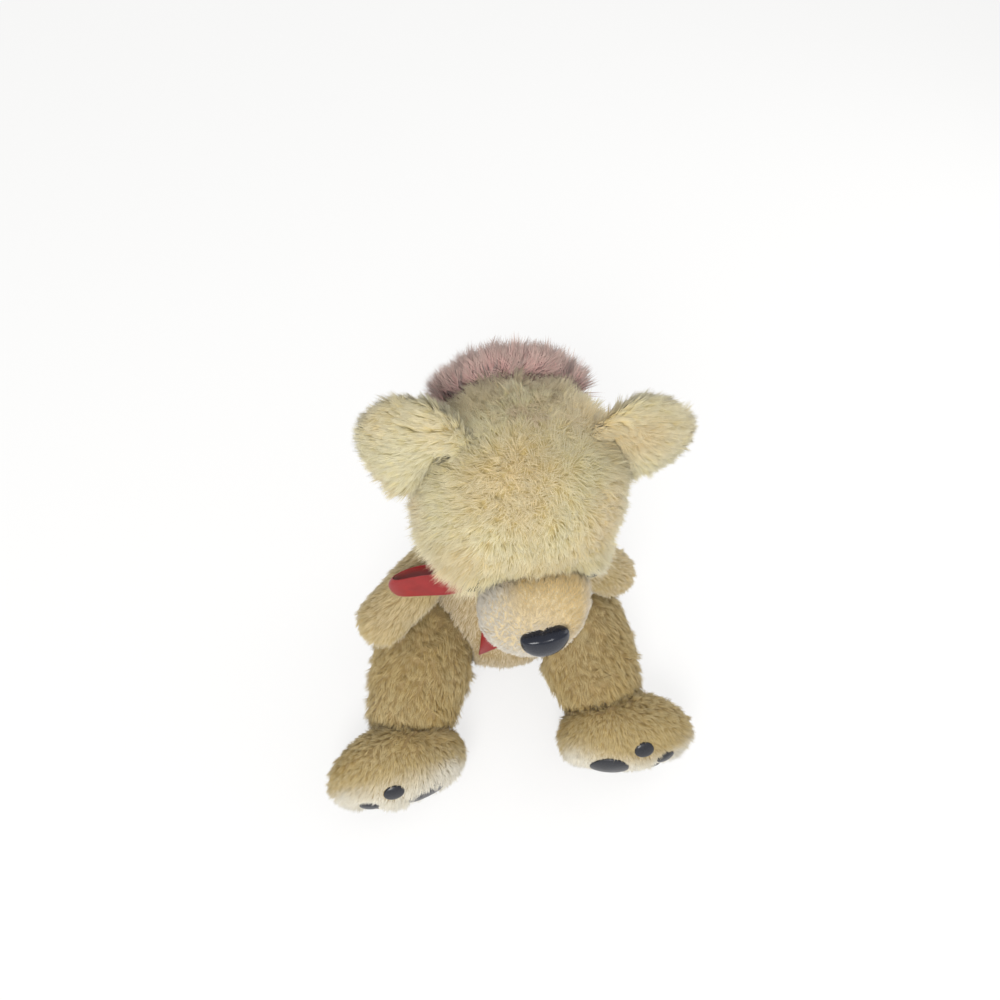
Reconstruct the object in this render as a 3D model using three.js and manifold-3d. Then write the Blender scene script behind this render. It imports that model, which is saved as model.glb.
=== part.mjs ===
// A sitting teddy bear: sewn plush covers over polyester stuffing, moulded eyes and nose, vinyl foot pads and a satin bow.
// Millimetres, +Z up. The bear sits on z = 0 over the origin and faces -Y. Left and right are the bear's own: left is +X.
import * as THREE from 'three';
import { mergeVertices } from 'three/addons/utils/BufferGeometryUtils.js';
import Module from 'manifold-3d';

const wasm = await Module();
wasm.setup();

// Cloth and clearances
const CLOTH = 3;
const SEAM_GAP = 0.4;
const FILL_GAP = 0.4;
const SOCKET_GAP = 0.6;
const FLOOR_CUT = 0.5;

// Facets round a form: outside of a cover, inside of a cover and stuffing, small moulded pieces
const FINE = 18;
const COARSE = 10;
const SMALL = 12;

// Body: seat, hips, chest and neck, each a half width at its height
const SEAT_R = 46;
const BUTTOCK_R = 79;
const BUTTOCK_Z = 20;
const HIP_R = 89;
const HIP_Z = 66;
const CHEST_R = 64;
const CHEST_Z = 152;
const NECK_R = 47;
const NECK_Z = 233;
const BODY_DEPTH = 168;
const NECK_HOLE_R = 24;

// Head: an egg lying forward of the neck, fuller at the cheeks
const HEAD_WIDTH = 182;
const HEAD_DEPTH = 172;
const HEAD_HEIGHT = 178;
const HEAD_FORWARD = 22;
const HEAD_Z = 300;
const CHEEK_SWELL = 7;

// Muzzle, with the seam between its top and chin panels below the nose
const MUZZLE_WIDTH = 96;
const MUZZLE_DEPTH = 84;
const MUZZLE_HEIGHT = 72;
const MUZZLE_FORWARD = 94;
const MUZZLE_DROP = 46;
const CHIN_SEAM_DROP = 7;

// Moulded nose and eyes on stems, each with a lock washer behind the cloth
const NOSE_WIDTH = 40;
const NOSE_HEIGHT = 30;
const NOSE_THICK = 17;
const NOSE_RISE = 18;
const NOSE_TILT = 10;
const EYE_R = 8.5;
const EYE_THICK = 9;
const EYE_SIDE = 48;
const EYE_DROP = 38;
const STEM_R = 2.5;
const STEM_LENGTH = 12;
const STEM_GAP = 0.3;
const WASHER_R = 8;
const WASHER_THICK = 1.6;
const WASHER_DEPTH = 6;

// Long-pile tuft behind the crown
const TUFT_WIDTH = 132;
const TUFT_BAND = 66;
const TUFT_THICK = 24;
const TUFT_RISE = 28;

// Ears: flat discs pinched thin where they are sewn on
const EAR_THICK = 27;
const EAR_ROOT_THICK = 4;
const EAR_TAPER = 26;
const EAR_SET = 14;
const EAR_RISE = 40;
const EAR_BACK = -9;
const EAR_DROOP = 24;
const EAR_GAP = 0.9;
const EAR_FLOP = 16;

// Arms: rounded root, upper arm and paw
const SHOULDER_SIDE = 68;
const SHOULDER_BACK = -18;
const SHOULDER_Z = 170;
const SHOULDER_R = 26;
const FOREARM_R = 27;
const PAW_R = 26;
const ARM_HOLE_R = 11;
const ARM_ROOM_STEPS = 4;

// Legs: rounded root, thigh and a rounded ankle end that the foot turns on
const THIGH_SIDE = 83;
const THIGH_FORWARD = 42;
const THIGH_R = 51;
const LEG_LENGTH = 74;
const CALF_R = 51;
const ANKLE_R = 44;
const LEG_HOLE_R = 20;
const LEG_SPLAY = 13;

// Feet: an upper that is deeper at the heel, and a domed sole on a seam that leans back at the top
const FOOT_LENGTH = 140;
const FOOT_WIDTH = 86;
const HEEL_DEPTH = 56;
const TOE_DEPTH = 38;
const SOLE_FORWARD = 58;
const SOLE_DOME = 34;
const TOE_RISE = 8;
const ANKLE_HOLE_R = 20;
const ANKLE_ROOM = 14;

// Vinyl pads on the sole: distance towards the toes, distance up the sole, half length and half width
const PADS = {
  pad_main: { along: -22, up: -1, length: 21, width: 18 },
  pad_toe_upper: { along: 14, up: 25, length: 10, width: 9 },
  pad_toe_middle: { along: 37, up: 2, length: 10, width: 9 },
  pad_toe_lower: { along: 24, up: -22, length: 10, width: 9 },
};
const PAD_THICK = 2.5;

// Satin ribbon and bow
const RIBBON_WIDTH = 22;
const RIBBON_THICK = 1.4;
const BAND_TOP_DROP = 16;
const KNOT_WIDTH = 22;
const KNOT_HEIGHT = 24;
const KNOT_THICK = 14;
const LOOP_OPEN = 20;
const TAIL_LENGTH = 116;
const TAIL_SPREAD = 10;
const TAIL_SLANT = 12;
const TAIL_COLUMNS = 3;
const TAIL_ROWS = 8;

// How the bear sits: degrees that the head is turned to its left, and half of the offset between the two legs in mm
const HEAD_TURN = 6;
const LEG_OFFSET = 8;
const SIDES = {
  left: {
    sign: 1, armOut: 43, armForward: -8, armLength: 68, toeForward: -2, footSet: 20, soleLean: 4,
    earR: 47, earLean: 2, loopLength: 80, loopBack: 14, loopDrop: 3,
  },
  right: {
    sign: -1, armOut: 54, armForward: 46, armLength: 84, toeForward: 15, footSet: 29, soleLean: -5,
    earR: 52, earLean: -26, loopLength: 104, loopBack: 1, loopDrop: 3,
  },
};

// How far a leg closes towards the other, in degrees, for the room that its thigh keeps to the belly
const LEG_CLOSE = 8;
const LEG_CLOSE_STEPS = 3;

const UP = new THREE.Vector3(0, 0, 1);
const radians = THREE.MathUtils.degToRad;
const vec = (x, y, z) => new THREE.Vector3(x, y, z);

// Solids: a closed geometry as a manifold, and a manifold as a geometry

function signedVolume(position, index) {
  const a = vec(0, 0, 0);
  const b = vec(0, 0, 0);
  const c = vec(0, 0, 0);
  let sum = 0;
  for (let i = 0; i < index.length; i += 3) {
    a.fromBufferAttribute(position, index[i]);
    b.fromBufferAttribute(position, index[i + 1]);
    c.fromBufferAttribute(position, index[i + 2]);
    sum += a.dot(b.cross(c));
  }
  return sum / 6;
}

function solid(geometry) {
  const bare = geometry.clone();
  bare.deleteAttribute('normal');
  bare.deleteAttribute('uv');
  const merged = mergeVertices(bare, 1e-4);
  const position = merged.getAttribute('position');
  const corners = [];
  const index = merged.index.array;
  for (let i = 0; i < index.length; i += 3) {
    const [a, b, c] = [index[i], index[i + 1], index[i + 2]];
    if (a !== b && b !== c && c !== a) corners.push(a, b, c);
  }
  if (signedVolume(position, corners) < 0) corners.reverse();
  return new wasm.Manifold(new wasm.Mesh({
    numProp: 3,
    vertProperties: new Float32Array(position.array),
    triVerts: new Uint32Array(corners),
  }));
}

function geometryOf(manifold) {
  const mesh = manifold.getMesh();
  const geometry = new THREE.BufferGeometry();
  geometry.setAttribute('position', new THREE.BufferAttribute(new Float32Array(mesh.vertProperties), 3));
  geometry.setIndex(Array.from(mesh.triVerts));
  return geometry;
}

// Placing: a matrix from an origin and three axes, and a geometry drawn in on every side by the same distance

function frameMatrix(origin, x, y, z) {
  return new THREE.Matrix4().makeBasis(x, y, z).setPosition(origin);
}

function turnAbout(pivot, axis, degrees) {
  const turn = new THREE.Matrix4().makeRotationAxis(axis, radians(degrees));
  const back = new THREE.Matrix4().makeTranslation(-pivot.x, -pivot.y, -pivot.z);
  return new THREE.Matrix4().makeTranslation(pivot.x, pivot.y, pivot.z).multiply(turn).multiply(back);
}

function drawnIn(geometry, distance) {
  geometry.computeBoundingBox();
  const middle = geometry.boundingBox.getCenter(vec(0, 0, 0));
  const size = geometry.boundingBox.getSize(vec(0, 0, 0));
  const share = (length) => (length - 2 * distance) / length;
  return geometry.clone()
    .translate(-middle.x, -middle.y, -middle.z)
    .scale(share(size.x), share(size.y), share(size.z))
    .translate(middle.x, middle.y, middle.z);
}

// A sphere with its poles on Z, bent by a function of the unit vertex
function bentSphere(segments, bend) {
  const geometry = new THREE.SphereGeometry(1, segments, Math.ceil(segments / 2) + 1).rotateX(Math.PI / 2);
  const position = geometry.getAttribute('position');
  for (let i = 0; i < position.count; i++) {
    const p = bend(vec(position.getX(i), position.getY(i), position.getZ(i)));
    position.setXYZ(i, p.x, p.y, p.z);
  }
  return geometry;
}

// A ball whose flat facets touch the true sphere from outside, for a hollow that a rounded root turns in
function hollowBall(centre, radius, segments) {
  const rows = Math.ceil(segments / 2) + 1;
  const reach = radius / (Math.cos(Math.PI / segments) * Math.cos(Math.PI / (2 * rows)));
  return solid(bentSphere(segments, (p) => p.multiplyScalar(reach).add(centre)));
}

// A turned form along any axis, from points of radius and distance along the axis
function turned(points, segments, origin, axis) {
  const lathe = new THREE.LatheGeometry(points.map(([r, along]) => new THREE.Vector2(r, along)), segments);
  const turn = new THREE.Quaternion().setFromUnitVectors(vec(0, 1, 0), axis);
  return lathe.applyQuaternion(turn).translate(origin.x, origin.y, origin.z);
}

function rod(origin, axis, radius, from, to, segments = SMALL) {
  return solid(turned([[0, from], [radius, from], [radius, to], [0, to]], segments, origin, axis));
}

// A block that fills everything on the far side of a plane, for flat cuts
function beyond(point, normal) {
  const size = 4 * HEAD_Z;
  const side = Math.abs(normal.z) > 0.9 ? vec(1, 0, 0) : UP;
  const x = vec(0, 0, 0).crossVectors(side, normal).normalize();
  const y = vec(0, 0, 0).crossVectors(normal, x);
  const block = new THREE.BoxGeometry(size, size, size).translate(0, 0, size / 2);
  return solid(block.applyMatrix4(frameMatrix(point, x, y, normal)));
}

const belowFloor = beyond(vec(0, 0, 0), vec(0, 0, -1));

// A limb: round root, belly and round end on one axis
function limbPoints(rootR, bellyR, endR, length, segments) {
  const arcSteps = Math.ceil(segments / 4);
  const points = [];
  for (let i = 0; i <= arcSteps; i++) {
    const a = (Math.PI / 2) * (i / arcSteps);
    points.push([rootR * Math.sin(a), -rootR * Math.cos(a)]);
  }
  points.push([bellyR, length / 2]);
  for (let i = 0; i <= arcSteps; i++) {
    const a = (Math.PI / 2) * (i / arcSteps);
    points.push([endR * Math.cos(a), length + endR * Math.sin(a)]);
  }
  points[0][0] = 0;
  points[points.length - 1][0] = 0;
  return points;
}

// Materials

const cloth = (color) => new THREE.MeshStandardMaterial({ color, roughness: 0.95, metalness: 0 });
const creamPlush = cloth(0xe1d2a5);
const tanPlush = cloth(0xb4965f);
const muzzlePlush = cloth(0xcdab76);
const ivoryPlush = cloth(0xe6dfcd);
const tuftPlush = cloth(0xaa7878);
const stuffing = cloth(0xf2f2ee);
const satin = new THREE.MeshStandardMaterial({ color: 0xc32a2e, roughness: 0.4, metalness: 0 });
const blackPlastic = new THREE.MeshStandardMaterial({ color: 0x15161c, roughness: 0.2, metalness: 0 });
const washerPlastic = new THREE.MeshStandardMaterial({ color: 0xdcdcd8, roughness: 0.5, metalness: 0 });
const blackVinyl = new THREE.MeshStandardMaterial({ color: 0x1b1b1f, roughness: 0.35, metalness: 0 });

const bear = new THREE.Group();
const groups = {};

function groupNamed(name, parent) {
  groups[name] = new THREE.Group();
  groups[name].name = `${name}_group`;
  parent.add(groups[name]);
  return groups[name];
}

function add(name, manifold, material, group) {
  const mesh = new THREE.Mesh(geometryOf(manifold), material.clone());
  mesh.name = name;
  group.add(mesh);
  return mesh;
}

// Where the limbs are sewn on

const shoulder = (side) => vec(side.sign * SHOULDER_SIDE, SHOULDER_BACK, SHOULDER_Z);
const hip = (side) => vec(side.sign * THIGH_SIDE, -THIGH_FORWARD + side.sign * LEG_OFFSET, THIGH_R - FLOOR_CUT);
const legAxis = (side) => {
  const splay = radians(LEG_SPLAY);
  return vec(side.sign * Math.sin(splay), -Math.cos(splay), 0);
};
const ankle = (side) => hip(side).addScaledVector(legAxis(side), LEG_LENGTH).setZ(ANKLE_R - FLOOR_CUT);
const armAxis = (side) => vec(
  side.sign * Math.tan(radians(side.armOut)),
  -Math.tan(radians(side.armForward)),
  -1,
).normalize();
const legHinge = (side) => vec(0, 0, side.sign);

// Body: a pear with hollows for the limb roots

const bodyOutline = new THREE.SplineCurve([
  new THREE.Vector2(SEAT_R, 0),
  new THREE.Vector2(BUTTOCK_R, BUTTOCK_Z),
  new THREE.Vector2(HIP_R, HIP_Z),
  new THREE.Vector2(CHEST_R, CHEST_Z),
  new THREE.Vector2(NECK_R, NECK_Z),
]);
const depthShare = BODY_DEPTH / (2 * HIP_R);

function upright(points, segments) {
  const lathe = new THREE.LatheGeometry(points.map(([r, z]) => new THREE.Vector2(r, z)), segments);
  return lathe.rotateX(Math.PI / 2).scale(1, depthShare, 1);
}

function bodyGeometry(segments) {
  const side = bodyOutline.getPoints(Math.ceil(segments / 2)).map((p) => [p.x, p.y]);
  return upright([[0, 0], ...side, [0, NECK_Z]], segments);
}

// Half width of the body at a height
function bodyRadius(z) {
  const points = bodyOutline.getPoints(FINE * 4);
  const next = Math.max(1, points.findIndex((p) => p.y >= z));
  const [a, b] = [points[next - 1], points[next]];
  return THREE.MathUtils.mapLinear(z, a.y, b.y, a.x, b.x);
}

function bodyForm(segments, inset) {
  let form = solid(drawnIn(bodyGeometry(segments), inset));
  for (const side of Object.values(SIDES)) {
    form = form
      .subtract(hollowBall(shoulder(side), SHOULDER_R + SOCKET_GAP + inset, segments))
      .subtract(hollowBall(hip(side), THIGH_R + SOCKET_GAP + inset, segments));
  }
  return form;
}

const bodyGroup = groupNamed('body', bear);
const neckHole = rod(vec(0, 0, 0), UP, NECK_HOLE_R, NECK_Z - 2 * CLOTH, NECK_Z + 2 * CLOTH, COARSE);
add('body_cover', bodyForm(FINE, 0).subtract(bodyForm(COARSE, CLOTH)).subtract(neckHole), tanPlush, bodyGroup);
add('body_filling', bodyForm(COARSE, CLOTH + FILL_GAP), stuffing, bodyGroup);

// Head: hollow cover on a flat neck seam

const headCentre = vec(0, -HEAD_FORWARD, HEAD_Z);

function headGeometry(segments, inset) {
  const half = vec(HEAD_WIDTH / 2 - inset, HEAD_DEPTH / 2 - inset, HEAD_HEIGHT / 2 - inset);
  return bentSphere(segments, (p) => {
    const low = Math.max(0, -p.z);
    const cheek = 4 * low * (1 - low) * CHEEK_SWELL;
    return vec(p.x * (half.x + cheek), p.y * (half.y + (p.y < 0 ? cheek : 0)), p.z * half.z).add(headCentre);
  });
}

function headForm(segments, inset) {
  const neckCut = beyond(vec(0, 0, NECK_Z + SEAM_GAP + inset), vec(0, 0, -1));
  return solid(headGeometry(segments, inset)).subtract(neckCut);
}

// The point of the head's surface on a ray from its centre, cheeks apart
function onHead(direction) {
  const d = direction.clone().normalize();
  const reach = Math.hypot(d.x / (HEAD_WIDTH / 2), d.y / (HEAD_DEPTH / 2), d.z / (HEAD_HEIGHT / 2));
  return d.multiplyScalar(1 / reach).add(headCentre);
}

const headGroup = groupNamed('head', bear);
const headNear = solid(headGeometry(FINE, -SEAM_GAP));

// Moulded fittings: a cap on a stem that goes through the cloth, and the washer pushed on against the back of the cloth

function fitting(point, normal) {
  const washerFrom = -WASHER_DEPTH - WASHER_THICK;
  return {
    stem: rod(point, normal, STEM_R, -STEM_LENGTH, 1),
    hole: rod(point, normal, STEM_R + STEM_GAP, -STEM_LENGTH - 1, CLOTH),
    washer: rod(point, normal, WASHER_R, washerFrom, -WASHER_DEPTH)
      .subtract(rod(point, normal, STEM_R + STEM_GAP, washerFrom - 1, -WASHER_DEPTH + 1)),
    seat: rod(point, normal, WASHER_R + FILL_GAP, -STEM_LENGTH - 1, -WASHER_DEPTH + FILL_GAP),
    pocket: rod(point, normal, WASHER_R + FILL_GAP, -STEM_LENGTH - FILL_GAP, CLOTH),
  };
}

// Eyes beside the muzzle

const eyes = Object.entries(SIDES).map(([name, side]) => {
  const x = (side.sign * EYE_SIDE) / (HEAD_WIDTH / 2);
  const z = -EYE_DROP / (HEAD_HEIGHT / 2);
  const y = -Math.sqrt(1 - x * x - z * z);
  const low = -z;
  const cheek = 4 * low * (1 - low) * CHEEK_SWELL;
  const point = vec(x * (HEAD_WIDTH / 2 + cheek), y * (HEAD_DEPTH / 2 + cheek), -EYE_DROP).add(headCentre);
  const normal = vec(x / HEAD_WIDTH, y / HEAD_DEPTH, z / HEAD_HEIGHT).normalize();
  const turn = new THREE.Quaternion().setFromUnitVectors(UP, normal);
  const dome = bentSphere(SMALL, (p) => vec(p.x * EYE_R, p.y * EYE_R, p.z * EYE_THICK)
    .applyQuaternion(turn).add(point));
  const parts = fitting(point, normal);
  const cap = solid(dome).subtract(headNear).add(parts.stem);
  return { name, cap, ...parts };
});

// Muzzle: two short-pile panels over one filling, with the nose through the upper panel

const muzzleCentre = headCentre.clone().add(vec(0, -MUZZLE_FORWARD, -MUZZLE_DROP));

function muzzleForm(segments, inset) {
  return solid(bentSphere(segments, (p) => vec(
    p.x * (MUZZLE_WIDTH / 2 - inset),
    p.y * (MUZZLE_DEPTH / 2 - inset),
    p.z * (MUZZLE_HEIGHT / 2 - inset),
  ).add(muzzleCentre)));
}

const noseLift = radians(NOSE_RISE);
const noseNormal = vec(0, -Math.cos(noseLift), Math.sin(noseLift));
const noseReach = Math.hypot(
  noseNormal.x / (MUZZLE_WIDTH / 2),
  noseNormal.y / (MUZZLE_DEPTH / 2),
  noseNormal.z / (MUZZLE_HEIGHT / 2),
);
const nosePoint = muzzleCentre.clone().addScaledVector(noseNormal, 1 / noseReach);
const noseTurn = new THREE.Quaternion().setFromUnitVectors(vec(0, -1, 0), noseNormal)
  .multiply(new THREE.Quaternion().setFromAxisAngle(vec(0, 1, 0), radians(NOSE_TILT)));
const noseDome = bentSphere(SMALL, (p) => {
  const narrowing = p.z < 0 ? 1 + 0.45 * p.z : 1;
  return vec(p.x * narrowing * NOSE_WIDTH / 2, p.y * NOSE_THICK / 2, p.z * NOSE_HEIGHT / 2)
    .applyQuaternion(noseTurn).add(nosePoint);
});
const noseParts = fitting(nosePoint, noseNormal);
const muzzleNear = muzzleForm(FINE, -SEAM_GAP);
const muzzleShell = muzzleForm(FINE, 0).subtract(muzzleForm(COARSE, CLOTH)).subtract(headNear);
const chinSeam = muzzleCentre.clone().add(vec(0, 0, -CHIN_SEAM_DROP));
const chinEdge = chinSeam.clone().add(vec(0, 0, SEAM_GAP));
const muzzleTop = muzzleShell.subtract(beyond(chinEdge, vec(0, 0, -1)))
  .subtract(noseParts.hole)
  .subtract(noseParts.seat);
add('muzzle_top', muzzleTop, muzzlePlush, headGroup);
add('muzzle_chin', muzzleShell.subtract(beyond(chinSeam, UP)), ivoryPlush, headGroup);
add('muzzle_filling', muzzleForm(COARSE, CLOTH + FILL_GAP).subtract(headNear).subtract(noseParts.pocket), stuffing, headGroup);
add('nose', solid(noseDome).subtract(muzzleNear).add(noseParts.stem), blackPlastic, headGroup);
add('nose_washer', noseParts.washer, washerPlastic, headGroup);

let headCover = headForm(FINE, 0).subtract(headForm(COARSE, CLOTH)).subtract(neckHole);
let headFilling = headForm(COARSE, CLOTH + FILL_GAP);
for (const eye of eyes) {
  headCover = headCover.subtract(eye.hole).subtract(eye.seat);
  headFilling = headFilling.subtract(eye.pocket);
  add(`eye_${eye.name}`, eye.cap, blackPlastic, headGroup);
  add(`eye_washer_${eye.name}`, eye.washer, washerPlastic, headGroup);
}
add('head_cover', headCover, creamPlush, headGroup);
add('head_filling', headFilling, stuffing, headGroup);

// Tuft: a padded strip across the back of the crown

const tuftLift = radians(TUFT_RISE);
const tuftOut = vec(0, Math.cos(tuftLift), Math.sin(tuftLift));
const tuftUp = vec(0, -Math.sin(tuftLift), Math.cos(tuftLift));
const tuftMatrix = frameMatrix(onHead(tuftOut), vec(1, 0, 0), tuftUp, tuftOut.clone());
const tuftPatch = bentSphere(FINE, (p) => vec(p.x * TUFT_WIDTH / 2, p.y * TUFT_BAND / 2, p.z * TUFT_WIDTH / 2)
  .applyMatrix4(tuftMatrix));
const tuftPile = headGeometry(FINE, 0).translate(0, tuftOut.y * TUFT_THICK, tuftOut.z * TUFT_THICK);
add('hair_tuft', solid(tuftPile).intersect(solid(tuftPatch)).subtract(headNear), tuftPlush, headGroup);

// Ears, each in its own group: a blade that thins towards its root seam

const earRoom = solid(headGeometry(FINE, -EAR_GAP));
const headTight = solid(headGeometry(FINE, -SEAM_GAP / 2));

function earSolid(side) {
  const rise = radians(EAR_RISE);
  const back = radians(EAR_BACK);
  const root = onHead(vec(side.sign * Math.cos(rise) * Math.cos(back), Math.cos(rise) * Math.sin(back), Math.sin(rise)));
  const tilt = radians(EAR_RISE - EAR_DROOP);
  const out = vec(side.sign * Math.cos(tilt), 0, Math.sin(tilt));
  const seam = vec(0, 0, 0).crossVectors(out, vec(0, -1, 0)).normalize();
  const face = vec(0, 0, 0).crossVectors(seam, out).normalize();
  const lean = turnAbout(root, seam, side.earLean);
  const matrix = lean.multiply(frameMatrix(root, out, seam, face));
  let blade = solid(bentSphere(FINE, (p) => {
    const along = EAR_SET + p.x * side.earR;
    const full = THREE.MathUtils.smoothstep(along, 0, EAR_TAPER);
    const half = THREE.MathUtils.lerp(EAR_ROOT_THICK, EAR_THICK, full) / 2;
    return vec(along, p.y * side.earR, p.z * half).applyMatrix4(matrix);
  })).subtract(earRoom);
  for (const angle of [-EAR_FLOP, EAR_FLOP]) {
    blade = blade.subtract(solid(geometryOf(headTight).applyMatrix4(turnAbout(root, seam, angle))));
  }
  return blade;
}

// Limbs: cover with an open root, and stuffing

function stuffed(name, group, form, opening) {
  const cover = form(FINE, 0).subtract(form(COARSE, CLOTH)).subtract(opening);
  add(`${name}_cover`, cover, tanPlush, group);
  add(`${name}_filling`, form(COARSE, CLOTH + FILL_GAP), stuffing, group);
}

// The room that the body needs beside an arm, the same at every angle of its swing
function armRoom(side, segments, inset) {
  const root = shoulder(side);
  const reach = side.armLength + 2 * PAW_R;
  const steps = ARM_ROOM_STEPS;
  const edge = [];
  for (let i = 0; i <= steps; i++) {
    const radius = (reach * i) / steps;
    edge.push([radius, bodyRadius(SHOULDER_Z - radius) + SOCKET_GAP + inset - SHOULDER_SIDE]);
  }
  const room = turned([[0, -reach], [reach, -reach], ...edge.reverse()], segments, root, vec(side.sign, 0, 0));
  return solid(room).subtract(hollowBall(root, SHOULDER_R - inset, segments));
}

function arm(name, side, group) {
  const root = shoulder(side);
  const axis = armAxis(side);
  const form = (segments, inset) => solid(turned(
    limbPoints(SHOULDER_R - inset, FOREARM_R - inset, PAW_R - inset, side.armLength, segments), segments, root, axis))
    .subtract(armRoom(side, segments, inset));
  stuffed(name, group, form, rod(root, axis, ARM_HOLE_R, -2 * SHOULDER_R, 0, COARSE));
}

function legGeometry(side, segments, inset) {
  const root = hip(side);
  const axis = ankle(side).sub(root);
  const points = limbPoints(THIGH_R - inset, CALF_R - inset, ANKLE_R - inset, axis.length(), segments);
  return turned(points, segments, root, axis.normalize());
}

function leg(name, side, group) {
  const root = hip(side);
  const form = (segments, inset) => {
    const belly = geometryOf(bodyForm(FINE, -SOCKET_GAP / 2 - inset));
    let thigh = solid(legGeometry(side, segments, inset)).subtract(belowFloor);
    for (let i = 0; i <= LEG_CLOSE_STEPS; i++) {
      const angle = (LEG_CLOSE * i) / LEG_CLOSE_STEPS;
      thigh = thigh.subtract(solid(belly.clone().applyMatrix4(turnAbout(root, legHinge(side), angle))));
    }
    return thigh;
  };
  const rootHole = rod(root, legAxis(side), LEG_HOLE_R, -2 * THIGH_R, 0, COARSE);
  stuffed(name, group, form, rootHole);
}

// Feet: upper, filling, sole and pads

function footFrame(side) {
  const turn = radians(side.toeForward);
  const rise = radians(TOE_RISE);
  const toe = vec(side.sign * Math.cos(turn) * Math.cos(rise), -Math.sin(turn) * Math.cos(rise), Math.sin(rise));
  const level = vec(0, 0, 0).crossVectors(toe, UP).normalize().multiplyScalar(side.sign);
  const out = level.clone().applyAxisAngle(toe, -radians(side.soleLean) * side.sign);
  const up = vec(0, 0, 0).crossVectors(out, toe).multiplyScalar(side.sign).normalize();
  return { toe, out, up };
}

function foot(name, side, group) {
  const { toe, out, up } = footFrame(side);
  const pivot = ankle(side);
  const middle = pivot.clone().setZ(0).addScaledVector(toe, side.footSet);
  const place = (along, forward, rise) => middle.clone()
    .addScaledVector(toe, along).addScaledVector(out, forward).addScaledVector(up, rise);
  const shape = (segments, inset) => bentSphere(segments, (p) => {
    const depth = p.y < 0 ? THREE.MathUtils.lerp(HEEL_DEPTH, TOE_DEPTH, (p.x + 1) / 2) : SOLE_DOME;
    const forward = SOLE_FORWARD + p.y * (depth - inset);
    return place(p.x * (FOOT_LENGTH / 2 - inset), forward, p.z * (FOOT_WIDTH / 2 - inset));
  });
  const loose = shape(FINE, 0);
  loose.computeBoundingBox();
  middle.z -= loose.boundingBox.min.z + FLOOR_CUT;
  const edge = (inset) => place(0, SOLE_FORWARD - SEAM_GAP - inset, 0);
  const heel = (inset) => pivot.clone().addScaledVector(legAxis(side), ANKLE_ROOM + inset);
  const form = (segments, inset) => solid(shape(segments, inset))
    .subtract(hollowBall(pivot, ANKLE_R + SOCKET_GAP + inset, segments))
    .subtract(beyond(heel(inset), legAxis(side).negate()))
    .subtract(beyond(edge(inset), out))
    .subtract(belowFloor);
  stuffed(name, group, form, rod(pivot, legAxis(side), ANKLE_HOLE_R, 0, SOLE_FORWARD - 2 * CLOTH, COARSE));
  const sole = solid(shape(FINE, 0))
    .subtract(beyond(place(0, SOLE_FORWARD, 0), out.clone().negate()))
    .subtract(belowFloor);
  add(`${name}_sole`, sole, ivoryPlush, group);
  const padUnder = solid(shape(FINE, -SEAM_GAP));
  const padOver = solid(shape(FINE, -SEAM_GAP - PAD_THICK));
  for (const [pad, size] of Object.entries(PADS)) {
    const x = size.along / (FOOT_LENGTH / 2);
    const z = size.up / (FOOT_WIDTH / 2);
    const y = Math.sqrt(1 - x * x - z * z);
    const normal = vec(0, 0, 0).addScaledVector(toe, x / FOOT_LENGTH)
      .addScaledVector(out, y / (2 * SOLE_DOME)).addScaledVector(up, z / FOOT_WIDTH).normalize();
    const across = vec(0, 0, 0).crossVectors(normal, toe).normalize();
    const matrix = frameMatrix(place(size.along, SOLE_FORWARD + y * SOLE_DOME, size.up),
      vec(0, 0, 0).crossVectors(across, normal), across, normal);
    const cut = new THREE.CylinderGeometry(1, 1, SOLE_DOME, SMALL).rotateX(Math.PI / 2)
      .scale(size.length, size.width, 1).applyMatrix4(matrix);
    add(`${name}_${pad}`, solid(cut).intersect(padOver).subtract(padUnder), blackVinyl, group);
  }
}

for (const [name, side] of Object.entries(SIDES)) {
  add(`ear_${name}`, earSolid(side), creamPlush, groupNamed(`ear_${name}`, headGroup));
  arm(`arm_${name}`, side, groupNamed(`arm_${name}`, bodyGroup));
  leg(`leg_${name}`, side, groupNamed(`leg_${name}`, bodyGroup));
  foot(`foot_${name}`, side, groupNamed(`foot_${name}`, groups[`leg_${name}`]));
}

// Ribbon: a band round the neck, tied in front in a bow with two loops and two tails on the chest

const bandTop = NECK_Z - BAND_TOP_DROP;
const bandRows = [1, 0.5, 0].map((share) => bandTop - share * RIBBON_WIDTH);
const bandSide = (out) => bandRows.map((z) => [bodyRadius(z) + out, z]);
const bandLoop = [...bandSide(SEAM_GAP), ...bandSide(SEAM_GAP + RIBBON_THICK).reverse()];
add('ribbon_band', solid(upright([...bandLoop, bandLoop[0]], FINE)), satin, bodyGroup);

const bowZ = bandTop - RIBBON_WIDTH / 2;
const bandOut = 2 * SEAM_GAP + RIBBON_THICK;
const bandRoom = upright([[0, bandRows[0]], ...bandSide(bandOut), [0, bandTop]], FINE);
const knotCentre = vec(0, -depthShare * (bodyRadius(bowZ) + bandOut) - KNOT_THICK / 2, bowZ);
const knot = bentSphere(SMALL, (p) => {
  const square = (v) => Math.sign(v) * Math.sqrt(Math.abs(v));
  return vec(square(p.x) * KNOT_WIDTH / 2, square(p.y) * KNOT_THICK / 2, square(p.z) * KNOT_HEIGHT / 2).add(knotCentre);
});
add('bow_knot', solid(knot).subtract(solid(bandRoom)), satin, bodyGroup);

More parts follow.
